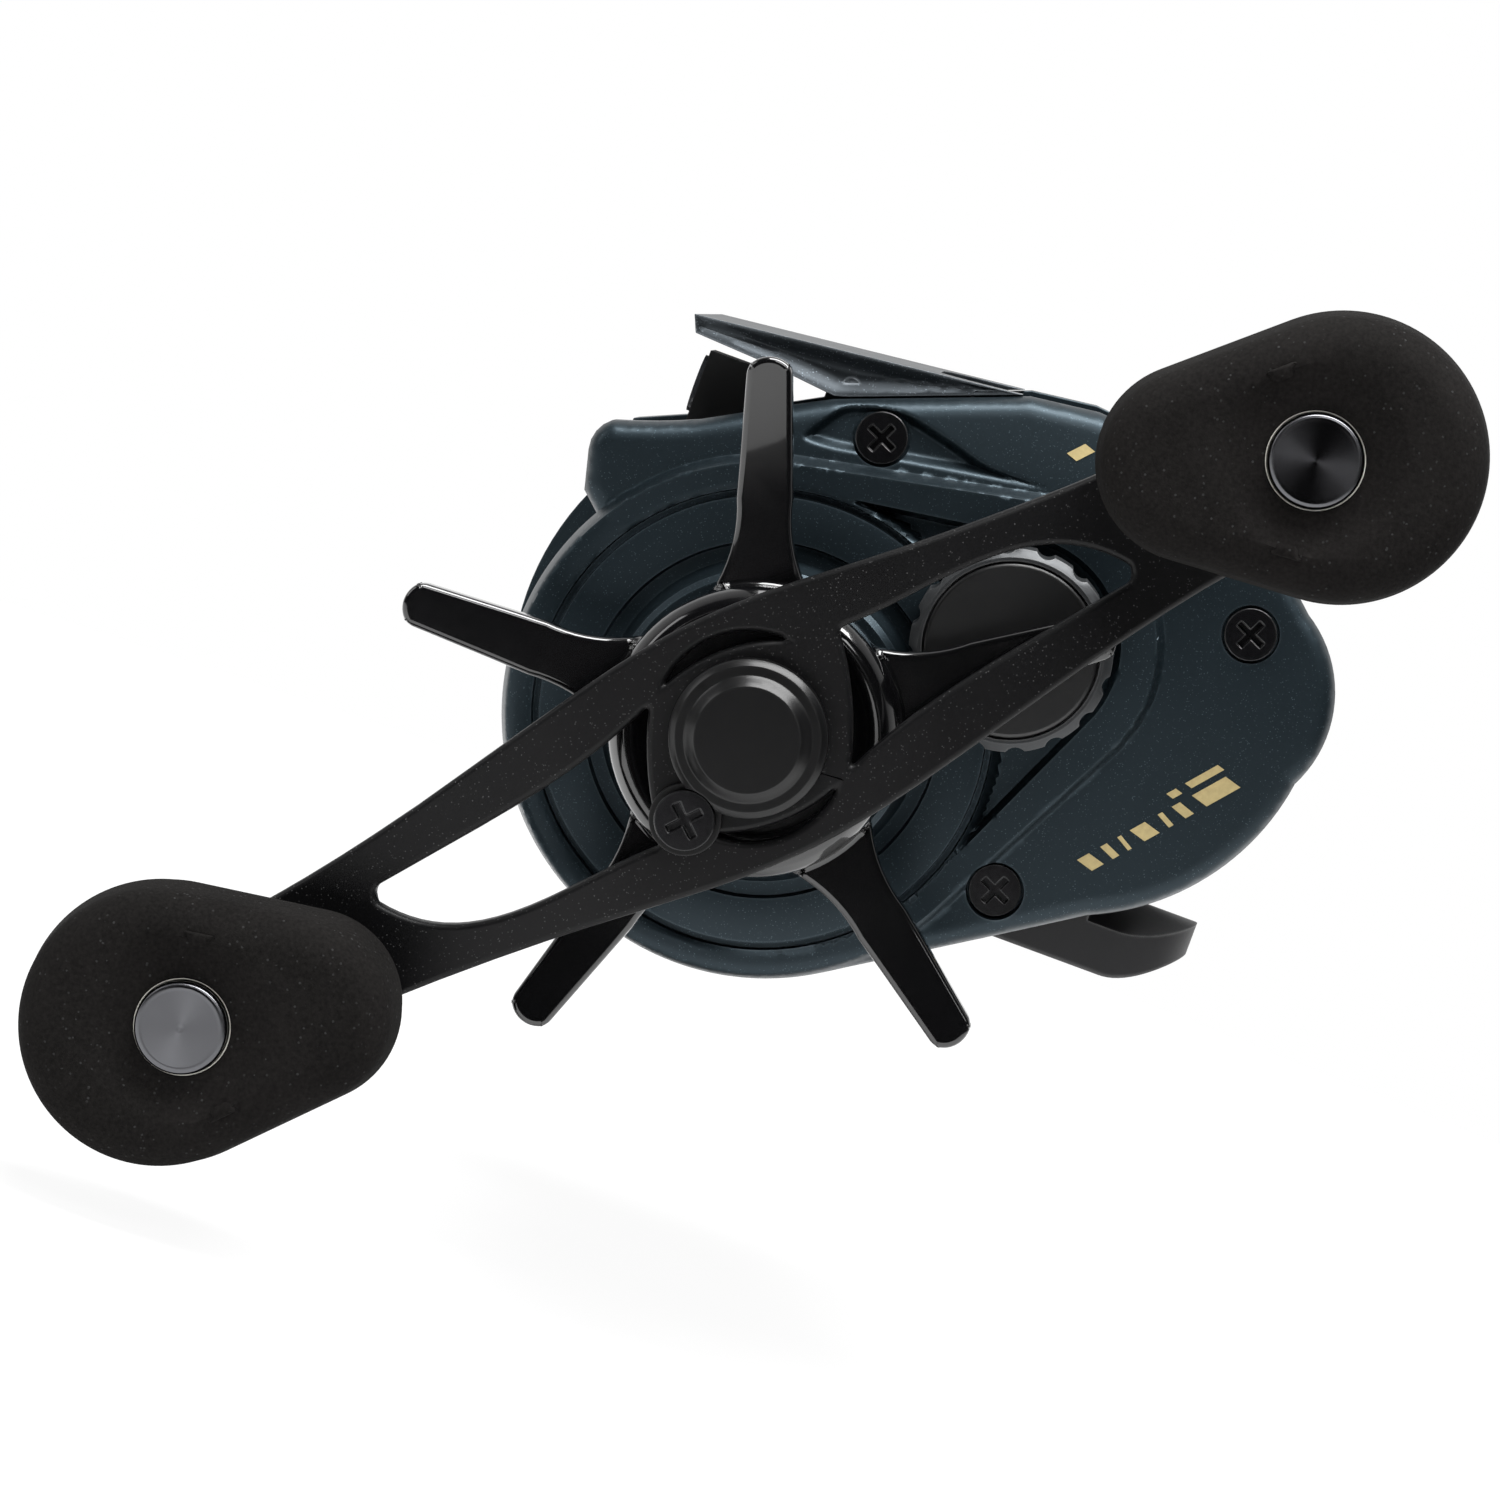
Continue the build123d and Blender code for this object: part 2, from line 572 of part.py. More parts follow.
# ================================================================ spool
with BuildPart() as spool:
    turn(SPOOL, (-spool_half, arbor_radius - arbor_wall), (-spool_half, spool_radius),
         (flange - spool_half, spool_radius), (flange - spool_half, arbor_radius),
         (spool_half - flange, arbor_radius), (spool_half - flange, spool_radius),
         (spool_half, spool_radius), (spool_half, arbor_radius - arbor_wall),
         (4.6, arbor_radius - arbor_wall), (4.6, 3.2), (9.0, 3.2), (9.0, shaft_radius + 0.02),
         (-6.0, shaft_radius + 0.02), (-6.0, 3.2), (3.0, 3.2), (3.0, arbor_radius - arbor_wall))
    with BuildSketch(across(spool_half)):
        with Locations((spool_x, spool_z)):
            with PolarLocations((spool_radius + arbor_radius) / 2, 14):
                Circle(1.35)
    extrude(amount=2 * spool_half, mode=Mode.SUBTRACT)
spool.part.label = "spool"
export_step(spool.part, "parts/spool.step")

with BuildPart() as spool_shaft:
    turn(SPOOL, (-20.6, 0), (-20.6, shaft_end_radius), (-12.7, shaft_end_radius), (-12.7, shaft_radius),
         (9.6, shaft_radius), (9.6, shaft_end_radius), (26.5, shaft_end_radius), (26.5, 0))
    with BuildSketch(Plane.XY.offset(spool_z - 2)):
        with Locations((spool_x, shaft_pin_y)):
            Circle(shaft_pin_radius + 0.02)
    extrude(amount=4, mode=Mode.SUBTRACT)
spool_shaft.part.label = "spool_shaft"
export_step(spool_shaft.part, "parts/spool_shaft.step")

with BuildPart() as shaft_pin:
    with BuildSketch(Plane.XY.offset(spool_z - 2.5)):
        with Locations((spool_x, shaft_pin_y)):
            Circle(shaft_pin_radius)
    extrude(amount=5)
shaft_pin.part.label = "shaft_pin"
export_step(shaft_pin.part, "parts/shaft_pin.step")

with BuildPart() as brake_rotor:
    turn(SPOOL, (-6.4, shaft_radius + 0.02), (-6.4, 3.0), (-11.8, 3.0), (-11.8, 6.5), (-17.4, 6.5), (-17.4, 5.9),
         (-12.6, 5.9), (-12.6, shaft_radius + 0.02))
brake_rotor.part.label = "brake_rotor"
export_step(brake_rotor.part, "parts/brake_rotor.step")


def ball_bearing(where, start, end, bore, outer):
    """Shielded bearing: two rings with a shallow shield between them."""
    step = (outer - bore) * 0.24
    turn(where, (start, bore), (start, bore + step), (start + 0.15, bore + step), (start + 0.15, outer - step),
         (start, outer - step), (start, outer), (end, outer), (end, outer - step), (end - 0.15, outer - step),
         (end - 0.15, bore + step), (end, bore + step), (end, bore))


# one bearing at each end of the spool shaft, and the spacer inside the threaded boss
with BuildPart() as spool_bearings:
    ball_bearing(SPOOL, -20.1, -18.1, shaft_end_radius + running, 3.5)
    ball_bearing(SPOOL, 24.2, 26.0, shaft_end_radius + running, bearing_radius)
    ring(SPOOL, 23.35, 24.15, 2.7, bearing_radius)
spool_bearings.part.label = "spool_bearings"
export_step(spool_bearings.part, "parts/spool_bearings.step")

with BuildPart() as pinion_bearing:
    ball_bearing(SPOOL, 21.5, 23.3, 1.9 + running, bearing_radius)
pinion_bearing.part.label = "pinion_bearing"
export_step(pinion_bearing.part, "parts/pinion_bearing.step")

tooth_addendum = 0.35
tooth_dedendum = 0.55
tooth_slack = 0.16
with BuildPart() as pinion_gear:
    turn(SPOOL, (12.8, 0), (12.8, 3.0), (groove_in, 3.0), (groove_in, 1.9), (groove_out, 1.9), (19.9, 1.9),
         (22.4, 1.9), (22.4, 0))
    with BuildSketch(yoke_plane(groove_out)):
        gear_face(pinion_teeth, drive_module, tooth_addendum, tooth_dedendum, tooth_slack)
    extrude(amount=groove_out - 19.9)
    ring(SPOOL, 12.8, 22.4, 0, shaft_end_radius + running + 0.02, mode=Mode.SUBTRACT)
    # slot that catches the spool shaft's pin
    with BuildSketch(across(12.8)):
        with Locations((spool_x, spool_z)):
            Rectangle(2 * shaft_pin_radius + 2 * side_gap, 8)
    extrude(amount=-1.25, mode=Mode.SUBTRACT)
pinion_gear.part.label = "pinion_gear"
export_step(pinion_gear.part, "parts/pinion_gear.step")

# ================================================================ cast control cap
with BuildPart() as cast_control_cap:
    turn(SPOOL, (22.9, tension_boss + 0.08), (26.9, tension_boss + 0.08), (26.9, 0), (28.2, 0),
         (28.2, 7.0), (28.9, 7.0), (28.9, 7.3), (28.3, tension_radius), (22.9, tension_radius))
    with BuildSketch(across(22.9)):
        with Locations((spool_x, spool_z)):
            with PolarLocations(tension_radius + 0.55, 16):
                Circle(0.95)
    extrude(amount=-6, mode=Mode.SUBTRACT)
cast_control_cap.part.label = "cast_control_cap"
export_step(cast_control_cap.part, "parts/cast_control_cap.step")

with BuildPart() as cap_disc:
    turn(SPOOL, (28.2, 0), (28.2, 6.9), (28.75, 6.9), (28.95, 6.6), (28.95, 0))
cap_disc.part.label = "cap_disc"
export_step(cap_disc.part, "parts/cap_disc.step")

with BuildPart() as friction_disc:
    ring(SPOOL, 26.55, 26.85, 0, 2.8)
friction_disc.part.label = "friction_disc"
export_step(friction_disc.part, "parts/friction_disc.step")

with BuildPart() as cap_seal:
    turn(SPOOL, (22.25, tension_boss + 0.1), (22.25, 7.3), (22.8, 7.3), (22.8, tension_boss + 0.1))
cap_seal.part.label = "cap_seal"
export_step(cap_seal.part, "parts/cap_seal.step")

# ================================================================ drive train
with BuildPart() as drive_shaft:
    turn(DRIVE, (12.5, 0), (12.5, 2.0), (14.8, 2.0), (14.8, drive_shaft_radius), (16.6, drive_shaft_radius),
         (16.6, 8.0), (17.1, 8.0), (17.1, drive_shaft_radius), (36.9, drive_shaft_radius),
         (36.9, handle_seat_radius), (41.0, handle_seat_radius), (41.0, 0))
drive_shaft.part.label = "drive_shaft"
export_step(drive_shaft.part, "parts/drive_shaft.step")

with BuildPart() as drive_bearing:
    ball_bearing(DRIVE, wall_in + 0.3, wall_out - 0.05, 2.0 + running, 4.5)
drive_bearing.part.label = "drive_bearing"
export_step(drive_bearing.part, "parts/drive_bearing.step")

drive_bore = drive_shaft_radius + running
with BuildPart() as main_gear:
    # a gap between two teeth faces the pinion
    with BuildSketch(leaning(drive_x, gear_in, drive_z, drive_angle + 180 + 180 / drive_teeth)):
        gear_face(drive_teeth, drive_module, tooth_addendum, tooth_dedendum, tooth_slack)
    extrude(amount=gear_in - gear_out)
    ring(DRIVE, gear_in, gear_out, 0, drive_bore, mode=Mode.SUBTRACT)
    ring(DRIVE, gear_in + 1.0, gear_out, 0, 11.2, mode=Mode.SUBTRACT)
    with BuildSketch(across(gear_in)):
        with Locations((drive_x, drive_z)):
            with PolarLocations(14.2, 8):
                Circle(1.8)
    extrude(amount=gear_in - gear_out, mode=Mode.SUBTRACT)
main_gear.part.label = "main_gear"
export_step(main_gear.part, "parts/main_gear.step")

with BuildPart() as drag_washers:
    ring(DRIVE, gear_in + 1.05, gear_in + 1.5, 3.2, 11.0)
    ring(DRIVE, gear_in + 2.1, gear_in + 2.55, 3.2, 11.0)
drag_washers.part.label = "drag_washers"
export_step(drag_washers.part, "parts/drag_washers.step")

# keyed plate between the washers, and the pressure plate over them
with BuildPart() as drag_plates:
    ring(DRIVE, gear_in + 1.55, gear_in + 2.05, drive_bore, 11.0)
    ring(DRIVE, gear_in + 2.6, gear_in + 3.2, drive_bore, 9.5)
drag_plates.part.label = "drag_plates"
export_step(drag_plates.part, "parts/drag_plates.step")

with BuildPart() as clutch_sleeve:
    ring(DRIVE, gear_in + 3.25, 29.0, drive_bore, sleeve_radius)
clutch_sleeve.part.label = "clutch_sleeve"
export_step(clutch_sleeve.part, "parts/clutch_sleeve.step")

roller_count = 8
roller_radius = 0.65
roller_ring = sleeve_radius + running + roller_radius
with BuildPart() as roller_clutch:
    ring(DRIVE, 21.2, 25.4, roller_ring + roller_radius + running, clutch_radius)
    ring(DRIVE, 21.2, 21.6, sleeve_radius + 2 * running, clutch_radius)
    with BuildSketch(across(21.65)):
        with Locations((drive_x, drive_z)):
            with PolarLocations(roller_ring, roller_count):
                Circle(roller_radius - 0.01)
    extrude(amount=21.65 - 25.3)
roller_clutch.part.label = "roller_clutch"
export_step(roller_clutch.part, "parts/roller_clutch.step")

with BuildPart() as handle_bearing:
    ball_bearing(DRIVE, 25.5, 27.5, sleeve_radius + running, clutch_radius)
handle_bearing.part.label = "handle_bearing"
export_step(handle_bearing.part, "parts/handle_bearing.step")

with BuildPart() as spring_washers:
    turn(DRIVE, (29.05, drive_bore), (29.7, 4.9), (30.1, 4.9), (29.45, drive_bore))
    turn(DRIVE, (30.85, drive_bore), (30.2, 4.9), (30.6, 4.9), (31.25, drive_bore))
spring_washers.part.label = "spring_washers"
export_step(spring_washers.part, "parts/spring_washers.step")

with BuildPart() as star_nut:
    with BuildSketch(across(31.35)):
        with Locations((drive_x, drive_z)):
            RegularPolygon(4.2, 6)
            Circle(drive_bore, mode=Mode.SUBTRACT)
    extrude(amount=31.35 - 35.2)
star_nut.part.label = "star_nut"
export_step(star_nut.part, "parts/star_nut.step")

# ================================================================ star drag
hub_outer = 11.3
hub_bevel = 10.3
arm_root = 7.4
arm_waist = 4.2
arm_tip = 3.5
with BuildSketch() as one_arm:
    with BuildLine():
        ThreePointArc((9.6, arm_root / 2 + 0.8), (13.2, 2.7), (18.0, arm_waist / 2 + 0.1))
        Line((18.0, arm_waist / 2 + 0.1), (star_radius - 0.9, arm_tip / 2))
        ThreePointArc((star_radius - 0.9, arm_tip / 2), (star_radius, 0), (star_radius - 0.9, -arm_tip / 2))
        Line((star_radius - 0.9, -arm_tip / 2), (18.0, -arm_waist / 2 - 0.1))
        ThreePointArc((18.0, -arm_waist / 2 - 0.1), (13.2, -2.7), (9.6, -arm_root / 2 - 0.8))
        Line((9.6, -arm_root / 2 - 0.8), (9.6, arm_root / 2 + 0.8))
    make_face()
with BuildPart() as star_drag:
    # dished band that the arms are cut from
    turn(DRIVE, (30.2, 8.0), (30.8, 20.6), (32.3, star_radius + 1), (34.5, star_radius + 1), (33.0, 20.6), (32.4, 8.0))
    with BuildSketch(facing(drive_x, 28.0, drive_z, star_lean)):
        with PolarLocations(0, star_arms):
            add(one_arm.sketch)
    extrude(amount=8, mode=Mode.INTERSECT)
    turn(DRIVE, (28.4, 9.8), (28.4, hub_outer - 0.4), (28.9, hub_outer), (34.7, hub_outer), (36.0, hub_bevel),
         (36.0, 9.4), (35.3, 8.4), (35.3, 4.3), (31.6, 4.3), (31.6, 9.2))
star_drag.part.label = "star_drag"
export_step(star_drag.part, "parts/star_drag.step")

# ================================================================ handle
with BuildPart() as handle_arm:
    with BuildSketch(facing(drive_x, arm_face - arm_thick - arm_drop, drive_z, handle_lean)):
        with BuildLine():
            Spline((-knob_reach, 5.4), (-32.0, 5.9), (-17.4, 7.9), (0.7, 9.8), (15.1, 8.0), (32.5, 6.0),
                   (knob_reach, 5.4))
            ThreePointArc((knob_reach, 5.4), (knob_reach + 5.4, 0), (knob_reach, -5.4))
            Spline((knob_reach, -5.4), (32.0, -5.9), (17.4, -7.9), (-0.7, -9.8), (-15.1, -8.0), (-32.5, -6.0),
                   (-knob_reach, -5.4))
            ThreePointArc((-knob_reach, -5.4), (-knob_reach - 5.4, 0), (-knob_reach, 5.4))
        make_face()
        for half_turn in (1, -1):
            # long window of the arm
            with BuildLine():
                Spline([(half_turn * a, half_turn * b) for a, b in
                        ((9.8, 4.4), (16.5, 4.2), (26.9, 2.9), (31.8, -1.4))])
                Line((half_turn * 31.8, half_turn * -1.4), (half_turn * 31.4, half_turn * -2.5))
                Spline([(half_turn * a, half_turn * b) for a, b in
                        ((31.4, -2.5), (24.0, -2.9), (13.1, -3.9), (5.8, -5.6))])
                ThreePointArc((half_turn * 5.8, half_turn * -5.6), (half_turn * 8.5, half_turn * -0.4),
                              (half_turn * 9.8, half_turn * 4.4))
            make_face(mode=Mode.SUBTRACT)
            # crescent slit beside the hub
            with BuildLine():
                ThreePointArc((half_turn * -4.3, half_turn * 6.4), (half_turn * 0.9, half_turn * 8.0),
                              (half_turn * 6.0, half_turn * 5.3))
                ThreePointArc((half_turn * 6.0, half_turn * 5.3), (half_turn * 0.6, half_turn * 6.9),
                              (half_turn * -4.3, half_turn * 6.4))
            make_face(mode=Mode.SUBTRACT)
        Circle(handle_seat_radius + running, mode=Mode.SUBTRACT)
        with Locations((knob_reach, 0), (-knob_reach, 0)):
            Circle(post_radius + 0.02, mode=Mode.SUBTRACT)
        with Locations((-7.2, -3.4)):
            Circle(0.95, mode=Mode.SUBTRACT)
    extrude(amount=arm_thick + arm_drop)
    # the arm steps toward the reel at both ends
    ends = knob_reach + 8
    side_view = Plane(origin=(drive_x, 0, drive_z), x_dir=facing(0, 0, 0, handle_lean).x_dir,
                      z_dir=facing(0, 0, 0, handle_lean).y_dir).offset(-20)
    with BuildSketch(Plane(origin=side_view.origin, x_dir=side_view.x_dir, z_dir=side_view.z_dir)):
        with BuildLine():
            top = [(-ends, arm_drop), (-36, arm_drop), (-14, 0), (14, 0), (36, arm_drop), (ends, arm_drop)]
            low = [(a, drop + arm_thick) for a, drop in reversed(top)]
            Polyline(*[(a, drop - arm_face) for a, drop in top + low], close=True)
        make_face()
    extrude(amount=40, mode=Mode.INTERSECT)
handle_arm.part.label = "handle_arm"
export_step(handle_arm.part, "parts/handle_arm.step")

with BuildPart() as handle_nut:
    with BuildSketch(across(arm_face)):
        with Locations((drive_x, drive_z)):
            RegularPolygon(4.5, 6)
            Circle(handle_seat_radius + running, mode=Mode.SUBTRACT)
    extrude(amount=-2.1)
handle_nut.part.label = "handle_nut"
export_step(handle_nut.part, "parts/handle_nut.step")

cap_ring = 6.1
retainer_spot = (-7.2, -3.4)
with BuildPart() as nut_cap:
    turn(DRIVE, (arm_face + 0.05, 4.7), (arm_face + 0.05, cap_ring), (arm_face + 1.6, cap_ring),
         (arm_face + 2.1, cap_ring - 0.5), (arm_face + 2.1, 4.9), (arm_face + 2.6, 4.45), (arm_face + 3.0, 4.1),
         (arm_face + 3.0, 0), (arm_face + 2.2, 0), (arm_face + 2.2, 4.7))
    with BuildSketch(facing(drive_x, arm_face + 0.05, drive_z, handle_lean)):
        with Locations(retainer_spot):
            Circle(2.8)
        Circle(4.9, mode=Mode.SUBTRACT)
    extrude(amount=0.6)
    with BuildSketch(facing(drive_x, arm_face + 0.65, drive_z, handle_lean)):
        with Locations(retainer_spot):
            Circle(2.45)
    extrude(amount=3, mode=Mode.SUBTRACT)
    with BuildSketch(facing(drive_x, arm_face, drive_z, handle_lean)):
        with Locations(retainer_spot):
            Circle(0.95)
    extrude(amount=3, mode=Mode.SUBTRACT)
nut_cap.part.label = "nut_cap"
export_step(nut_cap.part, "parts/nut_cap.step")

with BuildPart() as retainer_screw:
    with BuildSketch(facing(drive_x, arm_face + 0.65, drive_z, handle_lean)):
        with Locations(retainer_spot):
            Circle(2.35)
    extrude(amount=0.9)
    with BuildSketch(facing(drive_x, arm_face - 1.9, drive_z, handle_lean)):
        with Locations(retainer_spot):
            Circle(0.9)
    extrude(amount=2.6)
    with BuildSketch(facing(drive_x, arm_face + 1.55, drive_z, handle_lean)):
        with Locations(retainer_spot):
            Rectangle(0.6, 3.0)
            Rectangle(3.0, 0.6)
    extrude(amount=-0.6, mode=Mode.SUBTRACT)
retainer_screw.part.label = "retainer_screw"
export_step(retainer_screw.part, "parts/retainer_screw.step")

# ================================================================ knobs
arm_end_face = arm_face - arm_drop
knob_wide = 11.0
knob_narrow = 7.5
knob_offset = 2.2
knob_span = 10.9
core_radius = 4.4


def knob_plane(sign, lean, y):
    """Plane on a knob's post, turned so that local x points to the knob's narrow end."""
    reach = sign * knob_reach
    x = drive_x - reach * cos(radians(handle_lean))
    z = drive_z + reach * sin(radians(handle_lean))
    return facing(x, y, z, lean)


def knob_axle(sign):
    """Plane that holds a knob's sideways axis."""
    origin = knob_plane(sign, 0, 0).origin
    return axle(origin.X, origin.Z)


def knob_foam_shape(sign, lean):
    """Foam paddle: a wide end round the post and a narrower end, with soft edges."""
    with BuildSketch(knob_plane(sign, lean, knob_back)) as paddle:
        with Locations((-knob_offset, 0)):
            Circle(knob_wide)
        with Locations((knob_span - knob_offset, 0)):
            Circle(knob_narrow)
        make_hull()
    extrude(paddle.sketch, amount=knob_face - knob_back)
    fillet(edges().group_by(Axis.Y)[0] + edges().group_by(Axis.Y)[-1], radius=3.4)
    where = knob_axle(sign)
    ring(where, knob_back, knob_face, 0, core_radius + seat_gap, mode=Mode.SUBTRACT)
    turn(where, (knob_face - 0.9, 0), (knob_face - 0.9, 4.4), (knob_face + 0.1, 7.2), (knob_face + 0.1, 0),
         mode=Mode.SUBTRACT)


def knob_core_shape(sign):
    """Plastic sleeve bonded into the foam, with a bearing seat at each end."""
    where = knob_axle(sign)
    ring(where, knob_back + 0.1, knob_face - 1.1, 2.6, core_radius)
    ring(where, knob_back + 0.1, knob_back + 1.6, 0, 3.6 + seat_gap, mode=Mode.SUBTRACT)
    ring(where, knob_face - 3.9, knob_face - 1.1, 0, 3.6 + seat_gap, mode=Mode.SUBTRACT)


def knob_bushing_shape(sign):
    """Two flanged bushes between the post and the sleeve."""
    where = knob_axle(sign)
    ring(where, knob_back + 0.1, knob_back + 1.55, post_radius + running, 3.6)
    ring(where, knob_face - 3.85, knob_face - 2.4, post_radius + running, 3.6)


def knob_cap_shape(sign):
    """Spun metal cap with fine rings, pressed into the sleeve."""
    where = knob_axle(sign)
    turn(where, (knob_face - 2.0, 0), (knob_face - 2.0, cap_radius - seat_gap), (knob_face - 0.3, cap_radius - seat_gap),
         (knob_face, cap_radius - 0.4), (knob_face, 2.6), (knob_face - 0.15, 2.5), (knob_face, 2.4),
         (knob_face, 0))


narrow_lean_1 = 202.0
narrow_lean_2 = 27.0
with BuildPart() as knob_1_foam:
    knob_foam_shape(1, narrow_lean_1)
knob_1_foam.part.label = "knob_1_foam"
export_step(knob_1_foam.part, "parts/knob_1_foam.step")

with BuildPart() as knob_2_foam:
    knob_foam_shape(-1, narrow_lean_2)
knob_2_foam.part.label = "knob_2_foam"
export_step(knob_2_foam.part, "parts/knob_2_foam.step")

with BuildPart() as knob_1_core:
    knob_core_shape(1)
knob_1_core.part.label = "knob_1_core"
export_step(knob_1_core.part, "parts/knob_1_core.step")

with BuildPart() as knob_2_core:
    knob_core_shape(-1)
knob_2_core.part.label = "knob_2_core"
export_step(knob_2_core.part, "parts/knob_2_core.step")

with BuildPart() as knob_1_bushings:
    knob_bushing_shape(1)
knob_1_bushings.part.label = "knob_1_bushings"
export_step(knob_1_bushings.part, "parts/knob_1_bushings.step")

with BuildPart() as knob_2_bushings:
    knob_bushing_shape(-1)
knob_2_bushings.part.label = "knob_2_bushings"
export_step(knob_2_bushings.part, "parts/knob_2_bushings.step")

with BuildPart() as knob_1_cap:
    knob_cap_shape(1)
knob_1_cap.part.label = "knob_1_cap"
export_step(knob_1_cap.part, "parts/knob_1_cap.step")

with BuildPart() as knob_2_cap:
    knob_cap_shape(-1)
knob_2_cap.part.label = "knob_2_cap"
export_step(knob_2_cap.part, "parts/knob_2_cap.step")

with BuildPart() as knob_posts:
    for sign in (1, -1):
        turn(knob_axle(sign), (arm_end_face - arm_thick - 0.8, 0), (arm_end_face - arm_thick - 0.8, 3.0),
             (arm_end_face - arm_thick, 3.4), (arm_end_face - arm_thick, post_radius),
             (arm_end_face, post_radius), (arm_end_face, 3.0), (knob_back, 3.0), (knob_back, post_radius),
             (knob_face - 2.3, post_radius), (knob_face - 2.3, 0))
knob_posts.part.label = "knob_posts"
export_step(knob_posts.part, "parts/knob_posts.step")

# ================================================================ level wind
worm_radius = 2.35
worm_journal = 1.5
with BuildPart() as worm_shaft:
    turn(WORM, (-wall_out + 0.2, 0), (-wall_out + 0.2, worm_journal), (-wall_in + 0.4, worm_journal),
         (-wall_in + 0.4, worm_radius), (wall_in - 0.4, worm_radius), (wall_in - 0.4, worm_journal),
         (16.9, worm_journal), (16.9, 0))
    # crossing grooves, as rings tilted both ways along the shaft
    for step in range(7):
        for tilt in (-24, 24):
            lean = (0, cos(radians(tilt)), sin(radians(tilt)))
            place = Plane(origin=(worm_x, -9.0 + 3.0 * step, worm_z), z_dir=lean)
            with Locations(place.location):
                Torus(worm_radius + 0.15, 0.45, mode=Mode.SUBTRACT)
worm_shaft.part.label = "worm_shaft"
export_step(worm_shaft.part, "parts/worm_shaft.step")

with BuildPart() as worm_bushings:
    ring(WORM, wall_in, wall_out - 0.05, worm_journal + running, 2.6 - seat_gap)
    ring(WORM, -wall_out + 0.05, -wall_in, worm_journal + running, 2.6 - seat_gap)
worm_bushings.part.label = "worm_bushings"
export_step(worm_bushings.part, "parts/worm_bushings.step")

wind_addendum = 0.6
wind_dedendum = 0.9
wind_slack = 0.2


with BuildPart() as wind_gear:
    with BuildSketch(leaning(drive_x, wind_in, drive_z, worm_angle)):
        gear_face(wind_teeth, wind_module, wind_addendum, wind_dedendum, wind_slack)
        Circle(drive_bore, mode=Mode.SUBTRACT)
        with PolarLocations(5.2, 5):
            Circle(1.4, mode=Mode.SUBTRACT)
    extrude(amount=wind_in - wind_out)
wind_gear.part.label = "wind_gear"
export_step(wind_gear.part, "parts/wind_gear.step")

with BuildPart() as worm_gear:
    with BuildSketch(leaning(worm_x, wind_in, worm_z, worm_angle + 180 + 180 / worm_teeth)):
        gear_face(worm_teeth, wind_module, wind_addendum, wind_dedendum, wind_slack)
        Circle(worm_journal + 0.02, mode=Mode.SUBTRACT)
    extrude(amount=wind_in - wind_out)
worm_gear.part.label = "worm_gear"
export_step(worm_gear.part, "parts/worm_gear.step")

with BuildPart() as guide_rod:
    ring(ROD, -wall_out + 0.1, wall_out - 0.1, 0, 1.25)
guide_rod.part.label = "guide_rod"
export_step(guide_rod.part, "parts/guide_rod.step")

guide_half = 3.0
eye_x = (21.0, 25.6)
eye_z = 38.7
eye_top = 41.7
eye_radius = 2.45
with BuildPart() as line_guide:
    with BuildSketch(across(guide_half)):
        with Locations((worm_x, worm_z)):
            Circle(4.0)
        with Locations((rod_x, rod_z)):
            Circle(2.3)
        make_hull()
        with BuildLine():
            Polyline((worm_x - 2.6, worm_z + 2), (worm_x + 3.6, worm_z + 1), (eye_x[1], eye_z - 3.2),
                     (eye_x[1], eye_top), (eye_x[0] + 0.8, eye_top), (eye_x[0], eye_top - 0.8),
                     (eye_x[0], eye_z - 3.6), close=True)
        make_face()
    extrude(amount=2 * guide_half)
    ring(WORM, -guide_half, guide_half, 0, worm_radius + 0.08, mode=Mode.SUBTRACT)
    ring(ROD, -guide_half, guide_half, 0, 1.25 + 0.08, mode=Mode.SUBTRACT)
    # boss and bore of the pawl
    with BuildSketch(Plane.YZ.offset(worm_x - 5.4)):
        with Locations((0, worm_z)):
            Circle(2.0)
    extrude(amount=2.4)
    with BuildSketch(Plane.YZ.offset(worm_x - 5.4)):
        with Locations((0, worm_z)):
            Circle(1.05)
    extrude(amount=3.4, mode=Mode.SUBTRACT)
    with BuildSketch(Plane.YZ.offset(eye_x[0] - 1)):
        with Locations((0, eye_z)):
            Circle(eye_radius + seat_gap)
    extrude(amount=8, mode=Mode.SUBTRACT)
line_guide.part.label = "line_guide"
export_step(line_guide.part, "parts/line_guide.step")

with BuildPart() as line_guide_insert:
    with BuildSketch(Plane.YZ.offset(eye_x[0] + 0.3)):
        with Locations((0, eye_z)):
            Circle(eye_radius)
            Circle(eye_radius - 0.7, mode=Mode.SUBTRACT)
    extrude(amount=eye_x[1] - eye_x[0] + 0.1)
    fillet(edges().filter_by(GeomType.CIRCLE).group_by(SortBy.RADIUS)[0], radius=0.4)
line_guide_insert.part.label = "line_guide_insert"
export_step(line_guide_insert.part, "parts/line_guide_insert.step")

with BuildPart() as pawl:
    with BuildSketch(Plane.YZ.offset(worm_x - 5.35)):
        with Locations((0, worm_z)):
            Circle(1.0)
    extrude(amount=5.35 - worm_radius - 0.15)
pawl.part.label = "pawl"
export_step(pawl.part, "parts/pawl.step")

with BuildPart() as pawl_cap:
    with BuildSketch(Plane.YZ.offset(worm_x - 6.2)):
        with Locations((0, worm_z)):
            Circle(1.9)
    extrude(amount=0.75)
    with BuildSketch(Plane.YZ.offset(worm_x - 6.2)):
        with Locations((0, worm_z)):
            Rectangle(0.5, 4)
    extrude(amount=0.35, mode=Mode.SUBTRACT)
pawl_cap.part.label = "pawl_cap"
export_step(pawl_cap.part, "parts/pawl_cap.step")
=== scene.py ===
"""Low-profile baitcasting reel: finishes, rounded pieces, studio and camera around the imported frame."""
import json
import math

import bmesh
import bpy
import numpy as np
from mathutils import Matrix, Vector
from mathutils.geometry import delaunay_2d_cdt


